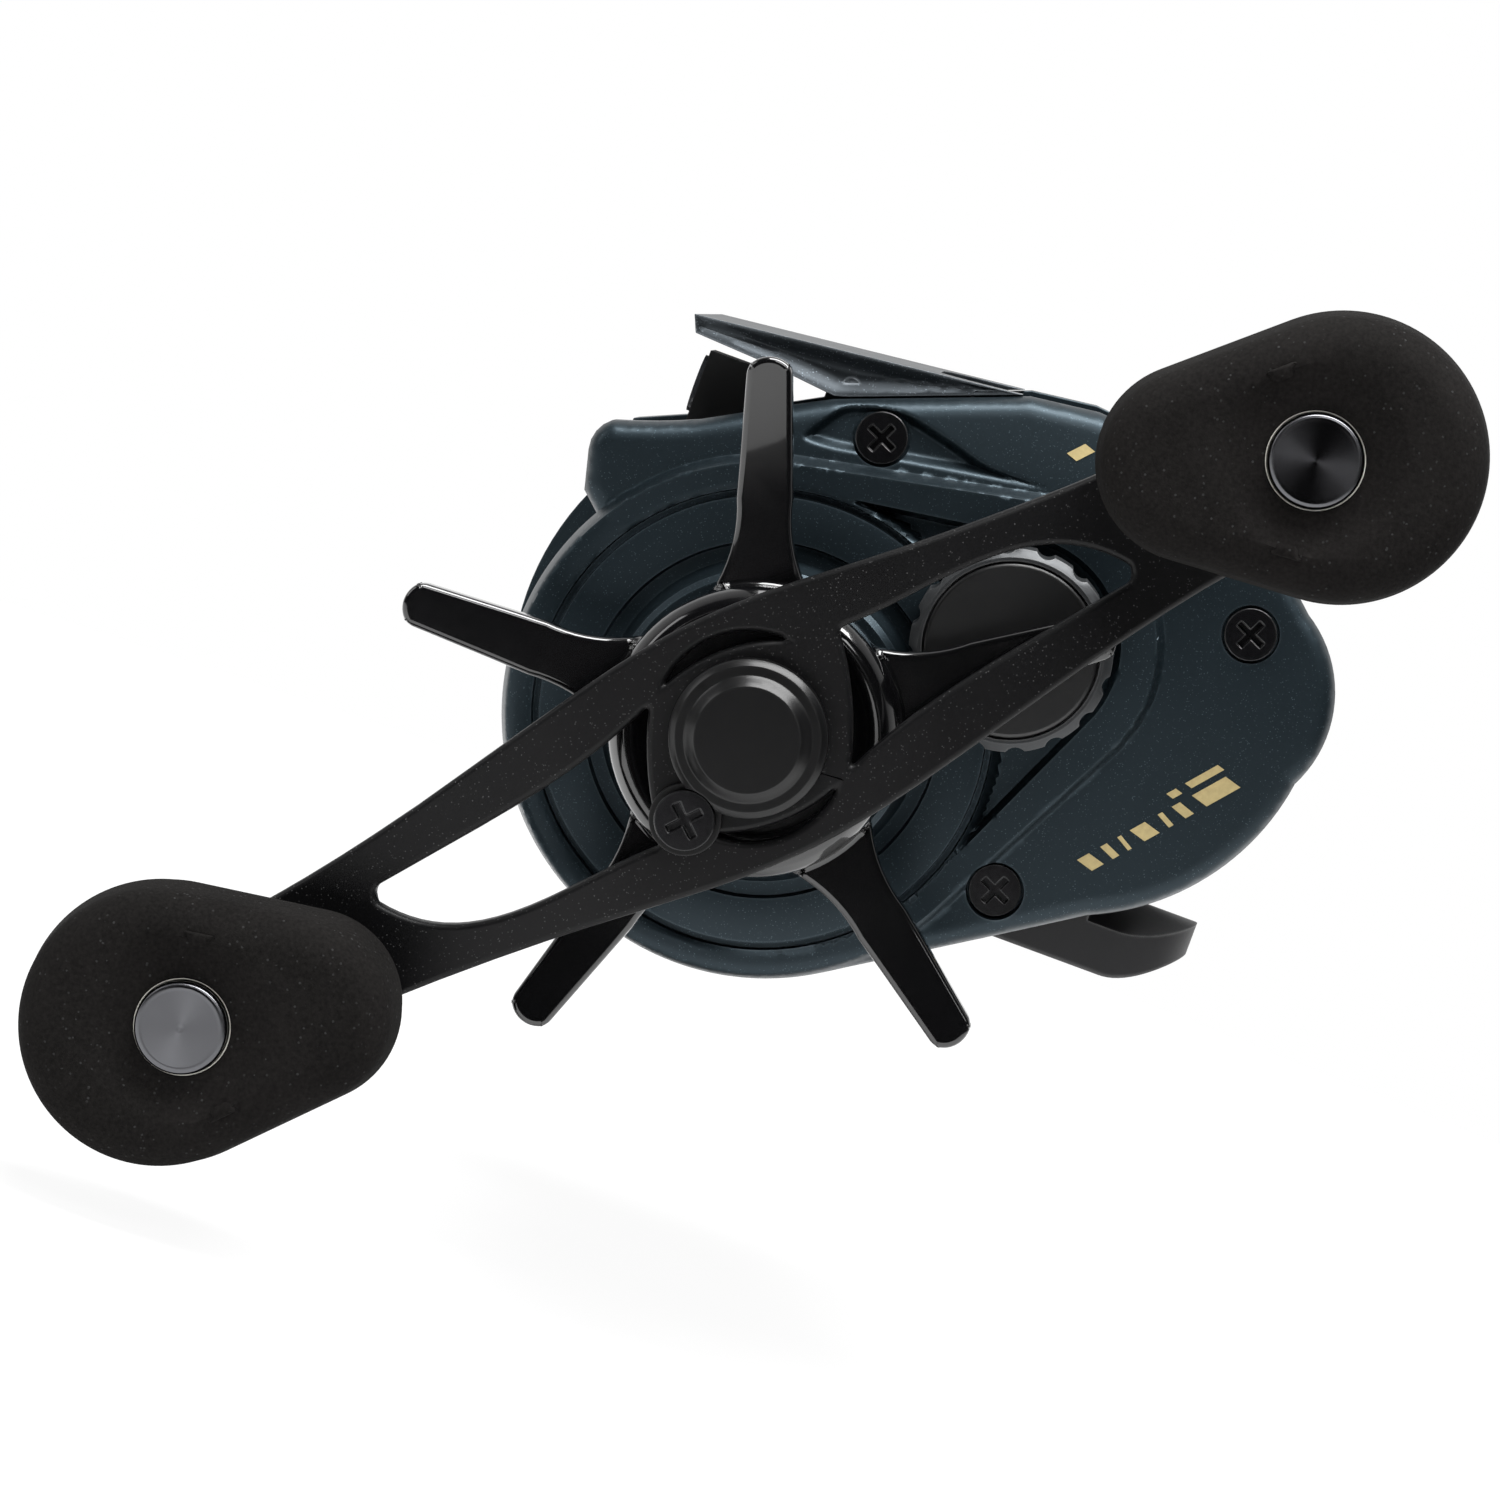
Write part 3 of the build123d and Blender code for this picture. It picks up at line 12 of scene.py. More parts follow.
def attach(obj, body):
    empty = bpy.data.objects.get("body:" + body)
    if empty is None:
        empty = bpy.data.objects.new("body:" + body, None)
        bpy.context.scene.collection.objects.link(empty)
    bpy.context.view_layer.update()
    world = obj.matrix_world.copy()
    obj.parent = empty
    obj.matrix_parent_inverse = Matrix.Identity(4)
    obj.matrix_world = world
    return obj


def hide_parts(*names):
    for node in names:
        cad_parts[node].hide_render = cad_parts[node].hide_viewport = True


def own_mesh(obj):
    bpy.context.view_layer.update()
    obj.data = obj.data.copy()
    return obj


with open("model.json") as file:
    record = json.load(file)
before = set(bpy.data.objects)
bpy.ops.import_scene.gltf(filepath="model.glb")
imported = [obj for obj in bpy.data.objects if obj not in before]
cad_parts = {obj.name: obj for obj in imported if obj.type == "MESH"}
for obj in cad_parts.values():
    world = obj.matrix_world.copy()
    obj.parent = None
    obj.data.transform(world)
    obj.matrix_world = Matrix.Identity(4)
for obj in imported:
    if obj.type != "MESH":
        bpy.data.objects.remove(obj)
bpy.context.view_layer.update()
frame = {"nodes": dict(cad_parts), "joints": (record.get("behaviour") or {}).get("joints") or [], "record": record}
nodes = frame["nodes"]

MM = 0.001
FULL_TURN = 2 * math.pi
pivot = {joint["name"]: Vector(joint["pos_m"]) / MM for joint in frame["joints"] if joint.get("pos_m")}
DRIVE = (pivot["handle_turn"].x, pivot["handle_turn"].z)
SPOOL = (pivot["spool_turn"].x, pivot["spool_turn"].z)
KNOB_1 = (pivot["knob_1_turn"].x, pivot["knob_1_turn"].z)
KNOB_2 = (pivot["knob_2_turn"].x, pivot["knob_2_turn"].z)
body_of_node = {node: body for body, held in frame["record"]["behaviour"]["bodies"].items() for node in held}
slot_of_node = {part["node"]: part["material_slot"] for part in frame["record"]["subparts"]}


# ---------------------------------------------------------------- camera
IMAGE_RIGHT = Vector((-0.9397, 0.0, 0.342))
IMAGE_UP = Vector((0.342, 0.0, 0.9397))


def place_camera():
    """Long lens from the handle side, with the reel's rod axis tilted in the picture."""
    lens = bpy.data.cameras.new("studio_lens")
    lens.lens = 122.5
    lens.sensor_width = 36.0
    lens.clip_start = 0.01
    lens.clip_end = 20.0
    camera = bpy.data.objects.new("studio_camera", lens)
    bpy.context.scene.collection.objects.link(camera)
    forward = (-0.0588 * IMAGE_RIGHT - 0.0849 * IMAGE_UP + Vector((0, -1, 0))).normalized()
    right = forward.cross(IMAGE_UP).normalized()
    up = right.cross(forward)
    turned = Matrix((right, up, -forward)).transposed().to_4x4()
    camera.matrix_world = Matrix.Translation(Vector((0.04, 427.0, 53.9)) * MM) @ turned
    bpy.context.scene.camera = camera


# ---------------------------------------------------------------- shader helpers
def group_of(name, inputs, outputs):
    """Empty shader node group with the named sockets."""
    tree = bpy.data.node_groups.new(name, "ShaderNodeTree")
    for label, kind, value in inputs:
        socket = tree.interface.new_socket(name=label, in_out="INPUT", socket_type=kind)
        if value is not None:
            socket.default_value = value
    for label, kind in outputs:
        tree.interface.new_socket(name=label, in_out="OUTPUT", socket_type=kind)
    return tree, tree.nodes.new("NodeGroupInput"), tree.nodes.new("NodeGroupOutput")


def wire(tree, source, target):
    tree.links.new(source, target)


def add_math(tree, operation, first, second=None, clamp=False):
    """Math node; each operand is a number or a socket."""
    node = tree.nodes.new("ShaderNodeMath")
    node.operation = operation
    node.use_clamp = clamp
    for place, value in enumerate((first, second)):
        if value is None:
            continue
        if isinstance(value, (int, float)):
            node.inputs[place].default_value = value
        else:
            wire(tree, value, node.inputs[place])
    return node.outputs[0]


def add_mix(tree, share, first, second):
    """Colour mix; each input is a socket or a colour."""
    node = tree.nodes.new("ShaderNodeMix")
    node.data_type = "RGBA"
    for socket, value in ((node.inputs[0], share), (node.inputs[6], first), (node.inputs[7], second)):
        if isinstance(value, bpy.types.NodeSocket):
            wire(tree, value, socket)
        else:
            socket.default_value = value
    return node.outputs[2]


def add_noise(tree, scale, detail=3.0, roughness=0.55):
    """Noise over the piece's own coordinates."""
    where = tree.nodes.new("ShaderNodeTexCoord")
    noise = tree.nodes.new("ShaderNodeTexNoise")
    noise.inputs["Detail"].default_value = detail
    noise.inputs["Roughness"].default_value = roughness
    if isinstance(scale, bpy.types.NodeSocket):
        wire(tree, scale, noise.inputs["Scale"])
    else:
        noise.inputs["Scale"].default_value = scale
    wire(tree, where.outputs["Object"], noise.inputs["Vector"])
    return noise.outputs["Fac"]


def build_grain_group():
    """Fine surface grain: varied colour and roughness, and a matching normal."""
    tree, source, target = group_of(
        "surface_grain",
        [("Colour", "NodeSocketColor", (0.1, 0.1, 0.1, 1)), ("Variation", "NodeSocketFloat", 0.2),
         ("Roughness", "NodeSocketFloat", 0.4), ("Roughness Spread", "NodeSocketFloat", 0.1),
         ("Scale", "NodeSocketFloat", 3000.0), ("Depth", "NodeSocketFloat", 0.1)],
        [("Colour", "NodeSocketColor"), ("Roughness", "NodeSocketFloat"), ("Normal", "NodeSocketVector")])
    fine = add_noise(tree, source.outputs["Scale"])
    broad = add_noise(tree, 90.0, 2.0)
    both = add_math(tree, "ADD", add_math(tree, "MULTIPLY", fine, 0.6), add_math(tree, "MULTIPLY", broad, 0.4))
    centred = add_math(tree, "SUBTRACT", both, 0.5)
    shift = add_math(tree, "MULTIPLY", centred, source.outputs["Variation"])
    scale = tree.nodes.new("ShaderNodeVectorMath")
    scale.operation = "SCALE"
    wire(tree, source.outputs["Colour"], scale.inputs[0])
    wire(tree, add_math(tree, "ADD", add_math(tree, "MULTIPLY", shift, 4.0), 1.0), scale.inputs["Scale"])
    wire(tree, scale.outputs[0], target.inputs["Colour"])
    spread = add_math(tree, "MULTIPLY", centred, source.outputs["Roughness Spread"])
    rough = add_math(tree, "ADD", source.outputs["Roughness"], add_math(tree, "MULTIPLY", spread, 3.0), clamp=True)
    wire(tree, rough, target.inputs["Roughness"])
    bump = tree.nodes.new("ShaderNodeBump")
    bump.inputs["Distance"].default_value = 0.02 * MM
    wire(tree, source.outputs["Depth"], bump.inputs["Strength"])
    wire(tree, fine, bump.inputs["Height"])
    wire(tree, bump.outputs["Normal"], target.inputs["Normal"])
    return tree


def build_wear_group():
    """Edge wear: shows a lighter colour where the surface turns sharply."""
    tree, source, target = group_of(
        "edge_wear",
        [("Colour", "NodeSocketColor", (0.1, 0.1, 0.1, 1)), ("Worn Colour", "NodeSocketColor", (0.3, 0.3, 0.3, 1)),
         ("Reach", "NodeSocketFloat", 0.25 * MM), ("Amount", "NodeSocketFloat", 0.5)],
        [("Colour", "NodeSocketColor"), ("Mask", "NodeSocketFloat")])
    rounded = tree.nodes.new("ShaderNodeBevel")
    rounded.samples = 4
    wire(tree, source.outputs["Reach"], rounded.inputs["Radius"])
    shape = tree.nodes.new("ShaderNodeNewGeometry")
    compare = tree.nodes.new("ShaderNodeVectorMath")
    compare.operation = "DOT_PRODUCT"
    wire(tree, rounded.outputs["Normal"], compare.inputs[0])
    wire(tree, shape.outputs["Normal"], compare.inputs[1])
    turned = add_math(tree, "SUBTRACT", 1.0, compare.outputs["Value"], clamp=True)
    broken = add_math(tree, "MULTIPLY", add_noise(tree, 700.0, 4.0), 2.2)
    mask = add_math(tree, "MULTIPLY", add_math(tree, "MULTIPLY", turned, 5.0, clamp=True), broken, clamp=True)
    mask = add_math(tree, "MULTIPLY", mask, source.outputs["Amount"], clamp=True)
    colour = add_mix(tree, mask, source.outputs["Colour"], source.outputs["Worn Colour"])
    wire(tree, colour, target.inputs["Colour"])
    wire(tree, mask, target.inputs["Mask"])
    return tree


def build_speckle_group():
    """Scattered pale or bright specks over a base colour."""
    tree, source, target = group_of(
        "speckle",
        [("Colour", "NodeSocketColor", (0.02, 0.02, 0.02, 1)), ("Speck Colour", "NodeSocketColor", (0.3, 0.3, 0.3, 1)),
         ("Scale", "NodeSocketFloat", 1500.0), ("Share", "NodeSocketFloat", 0.05)],
        [("Colour", "NodeSocketColor"), ("Mask", "NodeSocketFloat")])
    where = tree.nodes.new("ShaderNodeTexCoord")
    cells = tree.nodes.new("ShaderNodeTexVoronoi")
    wire(tree, source.outputs["Scale"], cells.inputs["Scale"])
    wire(tree, where.outputs["Object"], cells.inputs["Vector"])
    split = tree.nodes.new("ShaderNodeSeparateColor")
    wire(tree, cells.outputs["Color"], split.inputs["Color"])
    chosen = add_math(tree, "LESS_THAN", split.outputs["Red"], source.outputs["Share"])
    inside = add_math(tree, "LESS_THAN", cells.outputs["Distance"], 0.42)
    mask = add_math(tree, "MULTIPLY", chosen, inside)
    mask = add_math(tree, "MULTIPLY", mask, split.outputs["Green"])
    colour = add_mix(tree, mask, source.outputs["Colour"], source.outputs["Speck Colour"])
    wire(tree, colour, target.inputs["Colour"])
    wire(tree, mask, target.inputs["Mask"])
    return tree


surface_grain = build_grain_group()
edge_wear = build_wear_group()
speckle = build_speckle_group()


def place_group(tree, group, **values):
    """Copy of a shared effect in a material, with its own values."""
    node = tree.nodes.new("ShaderNodeGroup")
    node.node_tree = group
    for label, value in values.items():
        socket = node.inputs[label.replace("_", " ")]
        if isinstance(value, bpy.types.NodeSocket):
            wire(tree, value, socket)
        else:
            socket.default_value = value
    return node


def grey(value, tint=(1.0, 1.0, 1.0)):
    return (value * tint[0], value * tint[1], value * tint[2], 1.0)


finishes = {}


def make_finish(name, colour, roughness, metallic=0.0, variation=0.15, spread=0.08, scale=3000.0, depth=0.12,
                worn=None, wear=0.0, reach=0.25, specks=None, coat=0.0, coat_roughness=0.05, specular=0.5,
                anisotropic=0.0, sheen=0.0):
    """Material with grain, optional specks and optional worn edges; uniform values sit on the shader."""
    material = bpy.data.materials.new(name)
    material.use_nodes = True
    tree = material.node_tree
    shader = tree.nodes["Principled BSDF"]
    shader.inputs["Metallic"].default_value = metallic
    shader.inputs["Coat Weight"].default_value = coat
    shader.inputs["Coat Roughness"].default_value = coat_roughness
    shader.inputs["Specular IOR Level"].default_value = specular
    shader.inputs["Sheen Weight"].default_value = sheen
    grain = place_group(tree, surface_grain, Colour=colour, Variation=variation, Roughness=roughness,
                        Roughness_Spread=spread, Scale=scale, Depth=depth)
    paint = grain.outputs["Colour"]
    if specks:
        speck_colour, speck_scale, share = specks
        dots = place_group(tree, speckle, Colour=paint, Speck_Colour=speck_colour, Scale=speck_scale, Share=share)
        paint = dots.outputs["Colour"]
    if wear:
        rubbed = place_group(tree, edge_wear, Colour=paint, Worn_Colour=worn or grey(0.2),
                             Reach=reach * MM, Amount=wear)
        paint = rubbed.outputs["Colour"]
    wire(tree, paint, shader.inputs["Base Color"])
    wire(tree, grain.outputs["Roughness"], shader.inputs["Roughness"])
    wire(tree, grain.outputs["Normal"], shader.inputs["Normal"])
    if anisotropic:
        shader.inputs["Anisotropic"].default_value = anisotropic
        turned = tree.nodes.new("ShaderNodeTangent")
        turned.direction_type = "RADIAL"
        turned.axis = "Y"
        wire(tree, turned.outputs["Tangent"], shader.inputs["Tangent"])
    finishes[name] = material
    return material


make_finish("side_plate_paint", (0.0135, 0.0225, 0.0285, 1), 0.44, metallic=0.8, variation=0.10, scale=5200.0,
            depth=0.10, worn=(0.10, 0.13, 0.15, 1), wear=0.3, reach=0.3, specks=((0.055, 0.08, 0.095, 1), 9000.0, 0.12),
            coat=0.10, coat_roughness=0.3)
make_finish("hood_metal", (0.020, 0.0245, 0.0285, 1), 0.40, metallic=0.75, variation=0.12, scale=5200.0, depth=0.10,
            worn=(0.2, 0.22, 0.24, 1), wear=0.5, reach=0.3, specks=((0.12, 0.14, 0.16, 1), 9000.0, 0.10))
make_finish("frame_metal", (0.016, 0.018, 0.020, 1), 0.42, metallic=0.6, worn=grey(0.12), wear=0.4)
make_finish("foot_metal", (0.012, 0.012, 0.013, 1), 0.45, metallic=0.4, worn=grey(0.16), wear=0.5, reach=0.4)
make_finish("handle_black", (0.0026, 0.0026, 0.0029, 1), 0.42, variation=0.3, scale=6000.0, depth=0.16,
            worn=grey(0.05), wear=0.3, specks=(grey(0.05), 7500.0, 0.08), specular=0.16)
make_finish("star_gloss", (0.0020, 0.0020, 0.0023, 1), 0.16, variation=0.1, spread=0.03, scale=900.0, depth=0.0,
            worn=grey(0.03), wear=0.15, coat=0.8, coat_roughness=0.03, specular=0.3)
make_finish("nut_black", (0.0020, 0.0020, 0.0022, 1), 0.34, variation=0.1, spread=0.03, scale=900.0, depth=0.0,
            worn=grey(0.05), wear=0.5, coat=0.15, coat_roughness=0.2, specular=0.2)
make_finish("foam", (0.0066, 0.0061, 0.0058, 1), 0.95, variation=0.7, spread=0.04, scale=3400.0, depth=1.0,
            specks=(grey(0.024), 4200.0, 0.05), specular=0.06)
make_finish("cap_metal", (0.085, 0.086, 0.092, 1), 0.25, metallic=1.0, variation=0.06, spread=0.02, scale=900.0,
            depth=0.01, worn=grey(0.4), wear=0.4, anisotropic=0.85)
make_finish("cap_knurl", (0.028, 0.030, 0.032, 1), 0.40, metallic=0.5, worn=grey(0.2), wear=0.5)
make_finish("cap_face", (0.0045, 0.0045, 0.0048, 1), 0.35, worn=grey(0.03), wear=0.2)
make_finish("black_screw", (0.006, 0.006, 0.007, 1), 0.22, metallic=0.6, worn=grey(0.22), wear=0.6, reach=0.15)
make_finish("steel", (0.42, 0.42, 0.43, 1), 0.28, metallic=1.0, scale=2200.0, depth=0.06, worn=grey(0.6), wear=0.3)
make_finish("brass", (0.55, 0.38, 0.14, 1), 0.30, metallic=1.0, worn=(0.75, 0.6, 0.3, 1), wear=0.3)
make_finish("star_nut_brass", (0.55, 0.38, 0.14, 1), 0.32, metallic=1.0, worn=(0.75, 0.6, 0.3, 1), wear=0.3)
make_finish("magnet", (0.26, 0.26, 0.27, 1), 0.35, metallic=1.0)
make_finish("rubber_seal", (0.010, 0.010, 0.010, 1), 0.8, depth=0.3)
make_finish("nylon", (0.62, 0.60, 0.54, 1), 0.5, depth=0.15)
make_finish("carbon_drag", (0.02, 0.02, 0.021, 1), 0.5, specks=(grey(0.06), 4000.0, 0.4))
make_finish("spool_metal", (0.030, 0.032, 0.034, 1), 0.25, metallic=0.9, worn=grey(0.3), wear=0.5, anisotropic=0.6)
make_finish("bar_plastic", (0.010, 0.010, 0.011, 1), 0.5, scale=1500.0, depth=0.4, worn=grey(0.03), wear=0.3)
make_finish("guide_plastic", (0.006, 0.006, 0.0065, 1), 0.42, scale=1800.0, depth=0.2, worn=grey(0.05), wear=0.3)
make_finish("ceramic_ring", (0.035, 0.036, 0.04, 1), 0.08, coat=0.6)
gold_print = make_finish("gold_print", (0.40, 0.32, 0.15, 1), 0.45, metallic=0.35, variation=0.2, scale=2600.0)


# ---------------------------------------------------------------- mesh helpers
def add_piece(name, mesh, finish, body):
    """Put a finished mesh in the scene, riding on a body of the reel."""
    piece = bpy.data.objects.new(name, mesh)
    bpy.context.scene.collection.objects.link(piece)
    mesh.materials.clear()
    mesh.materials.append(finishes[finish])
    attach(piece, body)
    return piece


def smooth_faces(mesh, angle=32.0):
    """Smooth shading that keeps real edges crisp."""
    mesh.shade_smooth()
    mesh.set_sharp_from_angle(angle=math.radians(angle))


def softened(node, width, finish, angle=30.0, segments=2, shape=None, merge=0.003, clamp=True):
    """Copy of a CAD piece with rounded edges, standing in for that piece."""
    work = bmesh.new()
    work.from_mesh(nodes[node].data)
    bmesh.ops.remove_doubles(work, verts=work.verts, dist=merge * MM)
    bmesh.ops.dissolve_limit(work, angle_limit=math.radians(0.9), verts=work.verts, edges=work.edges)
    if shape:
        shape(work)
    mesh = bpy.data.meshes.new(node + "_rounded")
    work.to_mesh(mesh)
    work.free()
    custom = mesh.attributes.get("custom_normal")
    if custom:
        mesh.attributes.remove(custom)
    smooth_faces(mesh, angle)
    piece = add_piece(node + "_rounded", mesh, finish, body_of_node[node])
    rounding = piece.modifiers.new("rounding", "BEVEL")
    rounding.width = width * MM
    rounding.segments = segments
    rounding.limit_method = "ANGLE"
    rounding.angle_limit = math.radians(angle)
    rounding.use_clamp_overlap = clamp
    rounding.miter_outer = "MITER_ARC"
    flats = piece.modifiers.new("flat_faces", "WEIGHTED_NORMAL")
    flats.keep_sharp = False
    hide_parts(node)
    return piece


def ring_mesh(name, rings, close_start=True, close_end=True):
    """Skin a list of equal rings of points, in millimetres."""
    work = bmesh.new()
    loops = [[work.verts.new(Vector(point) * MM) for point in ring] for ring in rings]
    count = len(loops[0])
    for lower, upper in zip(loops, loops[1:]):
        for i in range(count):
            j = (i + 1) % count
            work.faces.new((lower[i], lower[j], upper[j], upper[i]))
    if close_start:
        work.faces.new(list(reversed(loops[0])))
    if close_end:
        work.faces.new(loops[-1])
    bmesh.ops.recalc_face_normals(work, faces=work.faces)
    mesh = bpy.data.meshes.new(name)
    work.to_mesh(mesh)
    work.free()
    return mesh


def turned_rings(centre, profile, segments):
    """Rings of a piece turned about a sideways axis, from (sideways position, radius) pairs."""
    rings = []
    for y, radius in profile:
        rings.append([(centre[0] + radius * math.cos(FULL_TURN * i / segments), y,
                       centre[1] + radius * math.sin(FULL_TURN * i / segments)) for i in range(segments)])
    return rings


# ---------------------------------------------------------------- handle side cover
HOUSING = 21.2
COVER_BACK = 14.75
COVER_FACE = 20.0
BELT_FACE = 22.0
VALLEY_FACE = 19.6
INNER_BELT = 18.7
HEEL = (-19.3, 10.0)
NOSE_LOW = (30.4, 28.2)
COVER_SCREWS = ((9.4, 40.3), (-23.6, 35.7), (-11.6, 9.4))
# radius and level of the housing's rim, groove, disc, step and centre boss
HOUSING_STEPS = ((6.65, 27.6), (8.0, 27.6), (8.4, 25.2), (11.7, 25.2), (12.2, 24.7), (12.4, 22.5), (13.0, 21.5),
                 (14.1, 21.5), (14.3, 22.25), (16.1, 22.35), (17.85, 22.15), (17.95, 21.2), (18.4, 21.2), (18.5, 21.9))


def arc_through(first, middle, last, count):
    """Points of the arc through three points, without the last one."""
    (ax, ay), (bx, by), (cx, cy) = first, middle, last
    d = 2 * (ax * (by - cy) + bx * (cy - ay) + cx * (ay - by))
    a, b, c = ax * ax + ay * ay, bx * bx + by * by, cx * cx + cy * cy
    ux = (a * (by - cy) + b * (cy - ay) + c * (ay - by)) / d
    uy = (a * (cx - bx) + b * (ax - cx) + c * (bx - ax)) / d
    start = math.atan2(ay - uy, ax - ux)
    middle_angle = math.atan2(by - uy, bx - ux)
    end = math.atan2(cy - uy, cx - ux)
    sweep = (end - start) % FULL_TURN
    if (middle_angle - start) % FULL_TURN > sweep:
        sweep -= FULL_TURN
    radius = math.hypot(ax - ux, ay - uy)
    return [(ux + radius * math.cos(start + sweep * i / count), uy + radius * math.sin(start + sweep * i / count))
            for i in range(count)]


def cover_outline():
    """Side view of the cover: heel, tail, crown, nose, then round the gear housing."""
    reach = math.hypot(HEEL[0] - DRIVE[0], HEEL[1] - DRIVE[1])
    toward_heel = math.atan2(HEEL[1] - DRIVE[1], HEEL[0] - DRIVE[0])
    touch = toward_heel + math.acos(HOUSING / reach)
    leave = math.atan2(NOSE_LOW[1] - DRIVE[1], NOSE_LOW[0] - DRIVE[0])
    points = []
    points += arc_through(HEEL, (-27.6, 16.6), (-31.2, 25.6), 24)
    points += arc_through((-31.2, 25.6), (-31.5, 34.0), (-27.5, 38.7), 20)
    points += arc_through((-27.5, 38.7), (-17.5, 45.3), (-6.3, 48.1), 24)
    points += [(-6.3, 48.1), (-0.6, 47.4), (6.8, 44.6), (14.2, 41.8), (19.0, 39.2)]
    points += arc_through((23.7, 36.6), (27.4, 35.1), (30.2, 34.2), 4)
    points += arc_through((30.2, 34.2), (31.1, 33.0), (31.2, 31.4), 4)
    points += [(31.2, 31.4), NOSE_LOW]
    sweep = (leave - touch) % FULL_TURN
    count = 150
    points += [(DRIVE[0] + HOUSING * math.cos(leave - sweep * i / count),
                DRIVE[1] + HOUSING * math.sin(leave - sweep * i / count)) for i in range(1, count + 1)]
    return evened(points, 0.45)


def evened(points, step):
    """Closed outline with points added so that no run is longer than the step."""
    made = []
    for (x, z), (next_x, next_z) in zip(points, points[1:] + points[:1]):
        parts = max(1, round(math.hypot(next_x - x, next_z - z) / step))
        made += [(x + (next_x - x) * i / parts, z + (next_z - z) * i / parts) for i in range(parts)]
    return made


def belt_distance(x, z, housing, hub):
    """Distance outside the belt that wraps a circle at the drive axis and one at the spool axis."""
    run_x, run_z = SPOOL[0] - DRIVE[0], SPOOL[1] - DRIVE[1]
    length = math.hypot(run_x, run_z)
    along = ((x - DRIVE[0]) * run_x + (z - DRIVE[1]) * run_z) / length
    aside = np.abs((x - DRIVE[0]) * run_z - (z - DRIVE[1]) * run_x) / length
    lean = (housing - hub) / length
    rise = math.sqrt(1 - lean * lean)
    key = aside * lean - along * rise
    near_housing = np.hypot(aside, along) - housing
    near_hub = np.hypot(aside, along - length) - hub
    between = aside * rise + along * lean - housing
    position = along * rise - aside * lean
    return np.where(position < 0, near_housing, np.where(position > length * rise, near_hub, between))


def belt_outline(housing, hub, step=0.5):
    """Closed outline of the same belt."""
    run_x, run_z = SPOOL[0] - DRIVE[0], SPOOL[1] - DRIVE[1]
    length = math.hypot(run_x, run_z)
    heading = math.atan2(run_z, run_x)
    open_angle = math.acos((housing - hub) / length)
    points = []
    for centre, radius, start, end in ((DRIVE, housing, open_angle, FULL_TURN - open_angle),
                                       (SPOOL, hub, -open_angle, open_angle)):
        count = max(8, round((end - start) * radius / step))
        points += [(centre[0] + radius * math.cos(heading + start + (end - start) * i / count),
                    centre[1] + radius * math.sin(heading + start + (end - start) * i / count))
                   for i in range(count + 1)]
    return evened(points, step)


def smooth_loop(corners, count):
    """Closed smooth curve through a few corners."""
    made = []
    total = len(corners)
    for k in range(total):
        p0, p1, p2, p3 = (Vector(corners[(k + shift) % total]) for shift in (-1, 0, 1, 2))
        for i in range(count):
            t = i / count
            point = 0.5 * (2 * p1 + (p2 - p0) * t + (2 * p0 - 5 * p1 + 4 * p2 - p3) * t * t
                           + (3 * p1 - p0 - 3 * p2 + p3) * t ** 3)
            made.append((point.x, point.y))
    return made


def outline_distance(x, z, outline):
    """Distance from each point to a closed outline, positive inside."""
    start = np.array(outline)
    end = np.roll(start, -1, axis=0)
    best = np.full(x.shape, 1e9)
    inside = np.zeros(x.shape, bool)
    for (ax, az), (bx, bz) in zip(start, end):
        dx, dz = bx - ax, bz - az
        share = np.clip(((x - ax) * dx + (z - az) * dz) / (dx * dx + dz * dz), 0, 1)
        best = np.minimum(best, np.hypot(x - ax - share * dx, z - az - share * dz))
        crosses = ((az > z) != (bz > z)) & (x < (bx - ax) * (z - az) / (bz - az + 1e-12) + ax)
        inside ^= crosses
    return np.where(inside, best, -best)


def eased(value):
    value = np.clip(value, 0, 1)
    return value * value * (3 - 2 * value)


SCREW_POCKET = smooth_loop([(12.6, 42.0), (14.4, 40.2), (15.4, 38.2), (13.2, 38.0), (9.0, 38.7), (3.6, 39.6),
                            (-4.4, 41.0), (0.6, 41.2), (4.2, 42.1), (8.6, 42.9)], 6)


def cover_height(x, z, outline):
    """Level of the cover's outer face over the side view."""
    radius = np.hypot(x - DRIVE[0], z - DRIVE[1])
    hub = np.hypot(x - SPOOL[0], z - SPOOL[1])
    level = COVER_FACE + 0.25 - 0.0046 * np.maximum(z - 27.0, 0) ** 2 - 1.0 * eased((-x - 10.0) / 22.0)
    level = level - 1.0 * eased(outline_distance(x, z, SCREW_POCKET) / 0.9)
    belt = BELT_FACE - 0.9 * eased((DRIVE[0] - x) / 20.0)
    level = level + (belt - level) * eased(-belt_distance(x, z, HOUSING, 12.2) / 0.7)
    valley = np.maximum(belt_distance(x, z, INNER_BELT, 8.7), INNER_BELT + 0.05 - radius)
    level = level + (VALLEY_FACE - level) * eased(-valley / 0.5)
    steps = np.array(HOUSING_STEPS)
    level = np.where(radius < 18.51, np.interp(radius, steps[:, 0], steps[:, 1]), level)
    level = np.where(hub < 6.2, 26.0, level)
    for screw_x, screw_z in COVER_SCREWS:
        level = np.where(np.hypot(x - screw_x, z - screw_z) < 2.31, 18.4, level)
    edge = np.clip(outline_distance(x, z, outline), 0, 1.5) / 1.5
    return level - 1.5 * (1 - np.sqrt(np.clip(1 - (1 - edge) ** 2, 0, 1)))


def circle_loop(centre, radius, count):
    return [(centre[0] + radius * math.cos(FULL_TURN * i / count),
             centre[1] + radius * math.sin(FULL_TURN * i / count))
            for i in range(count)]


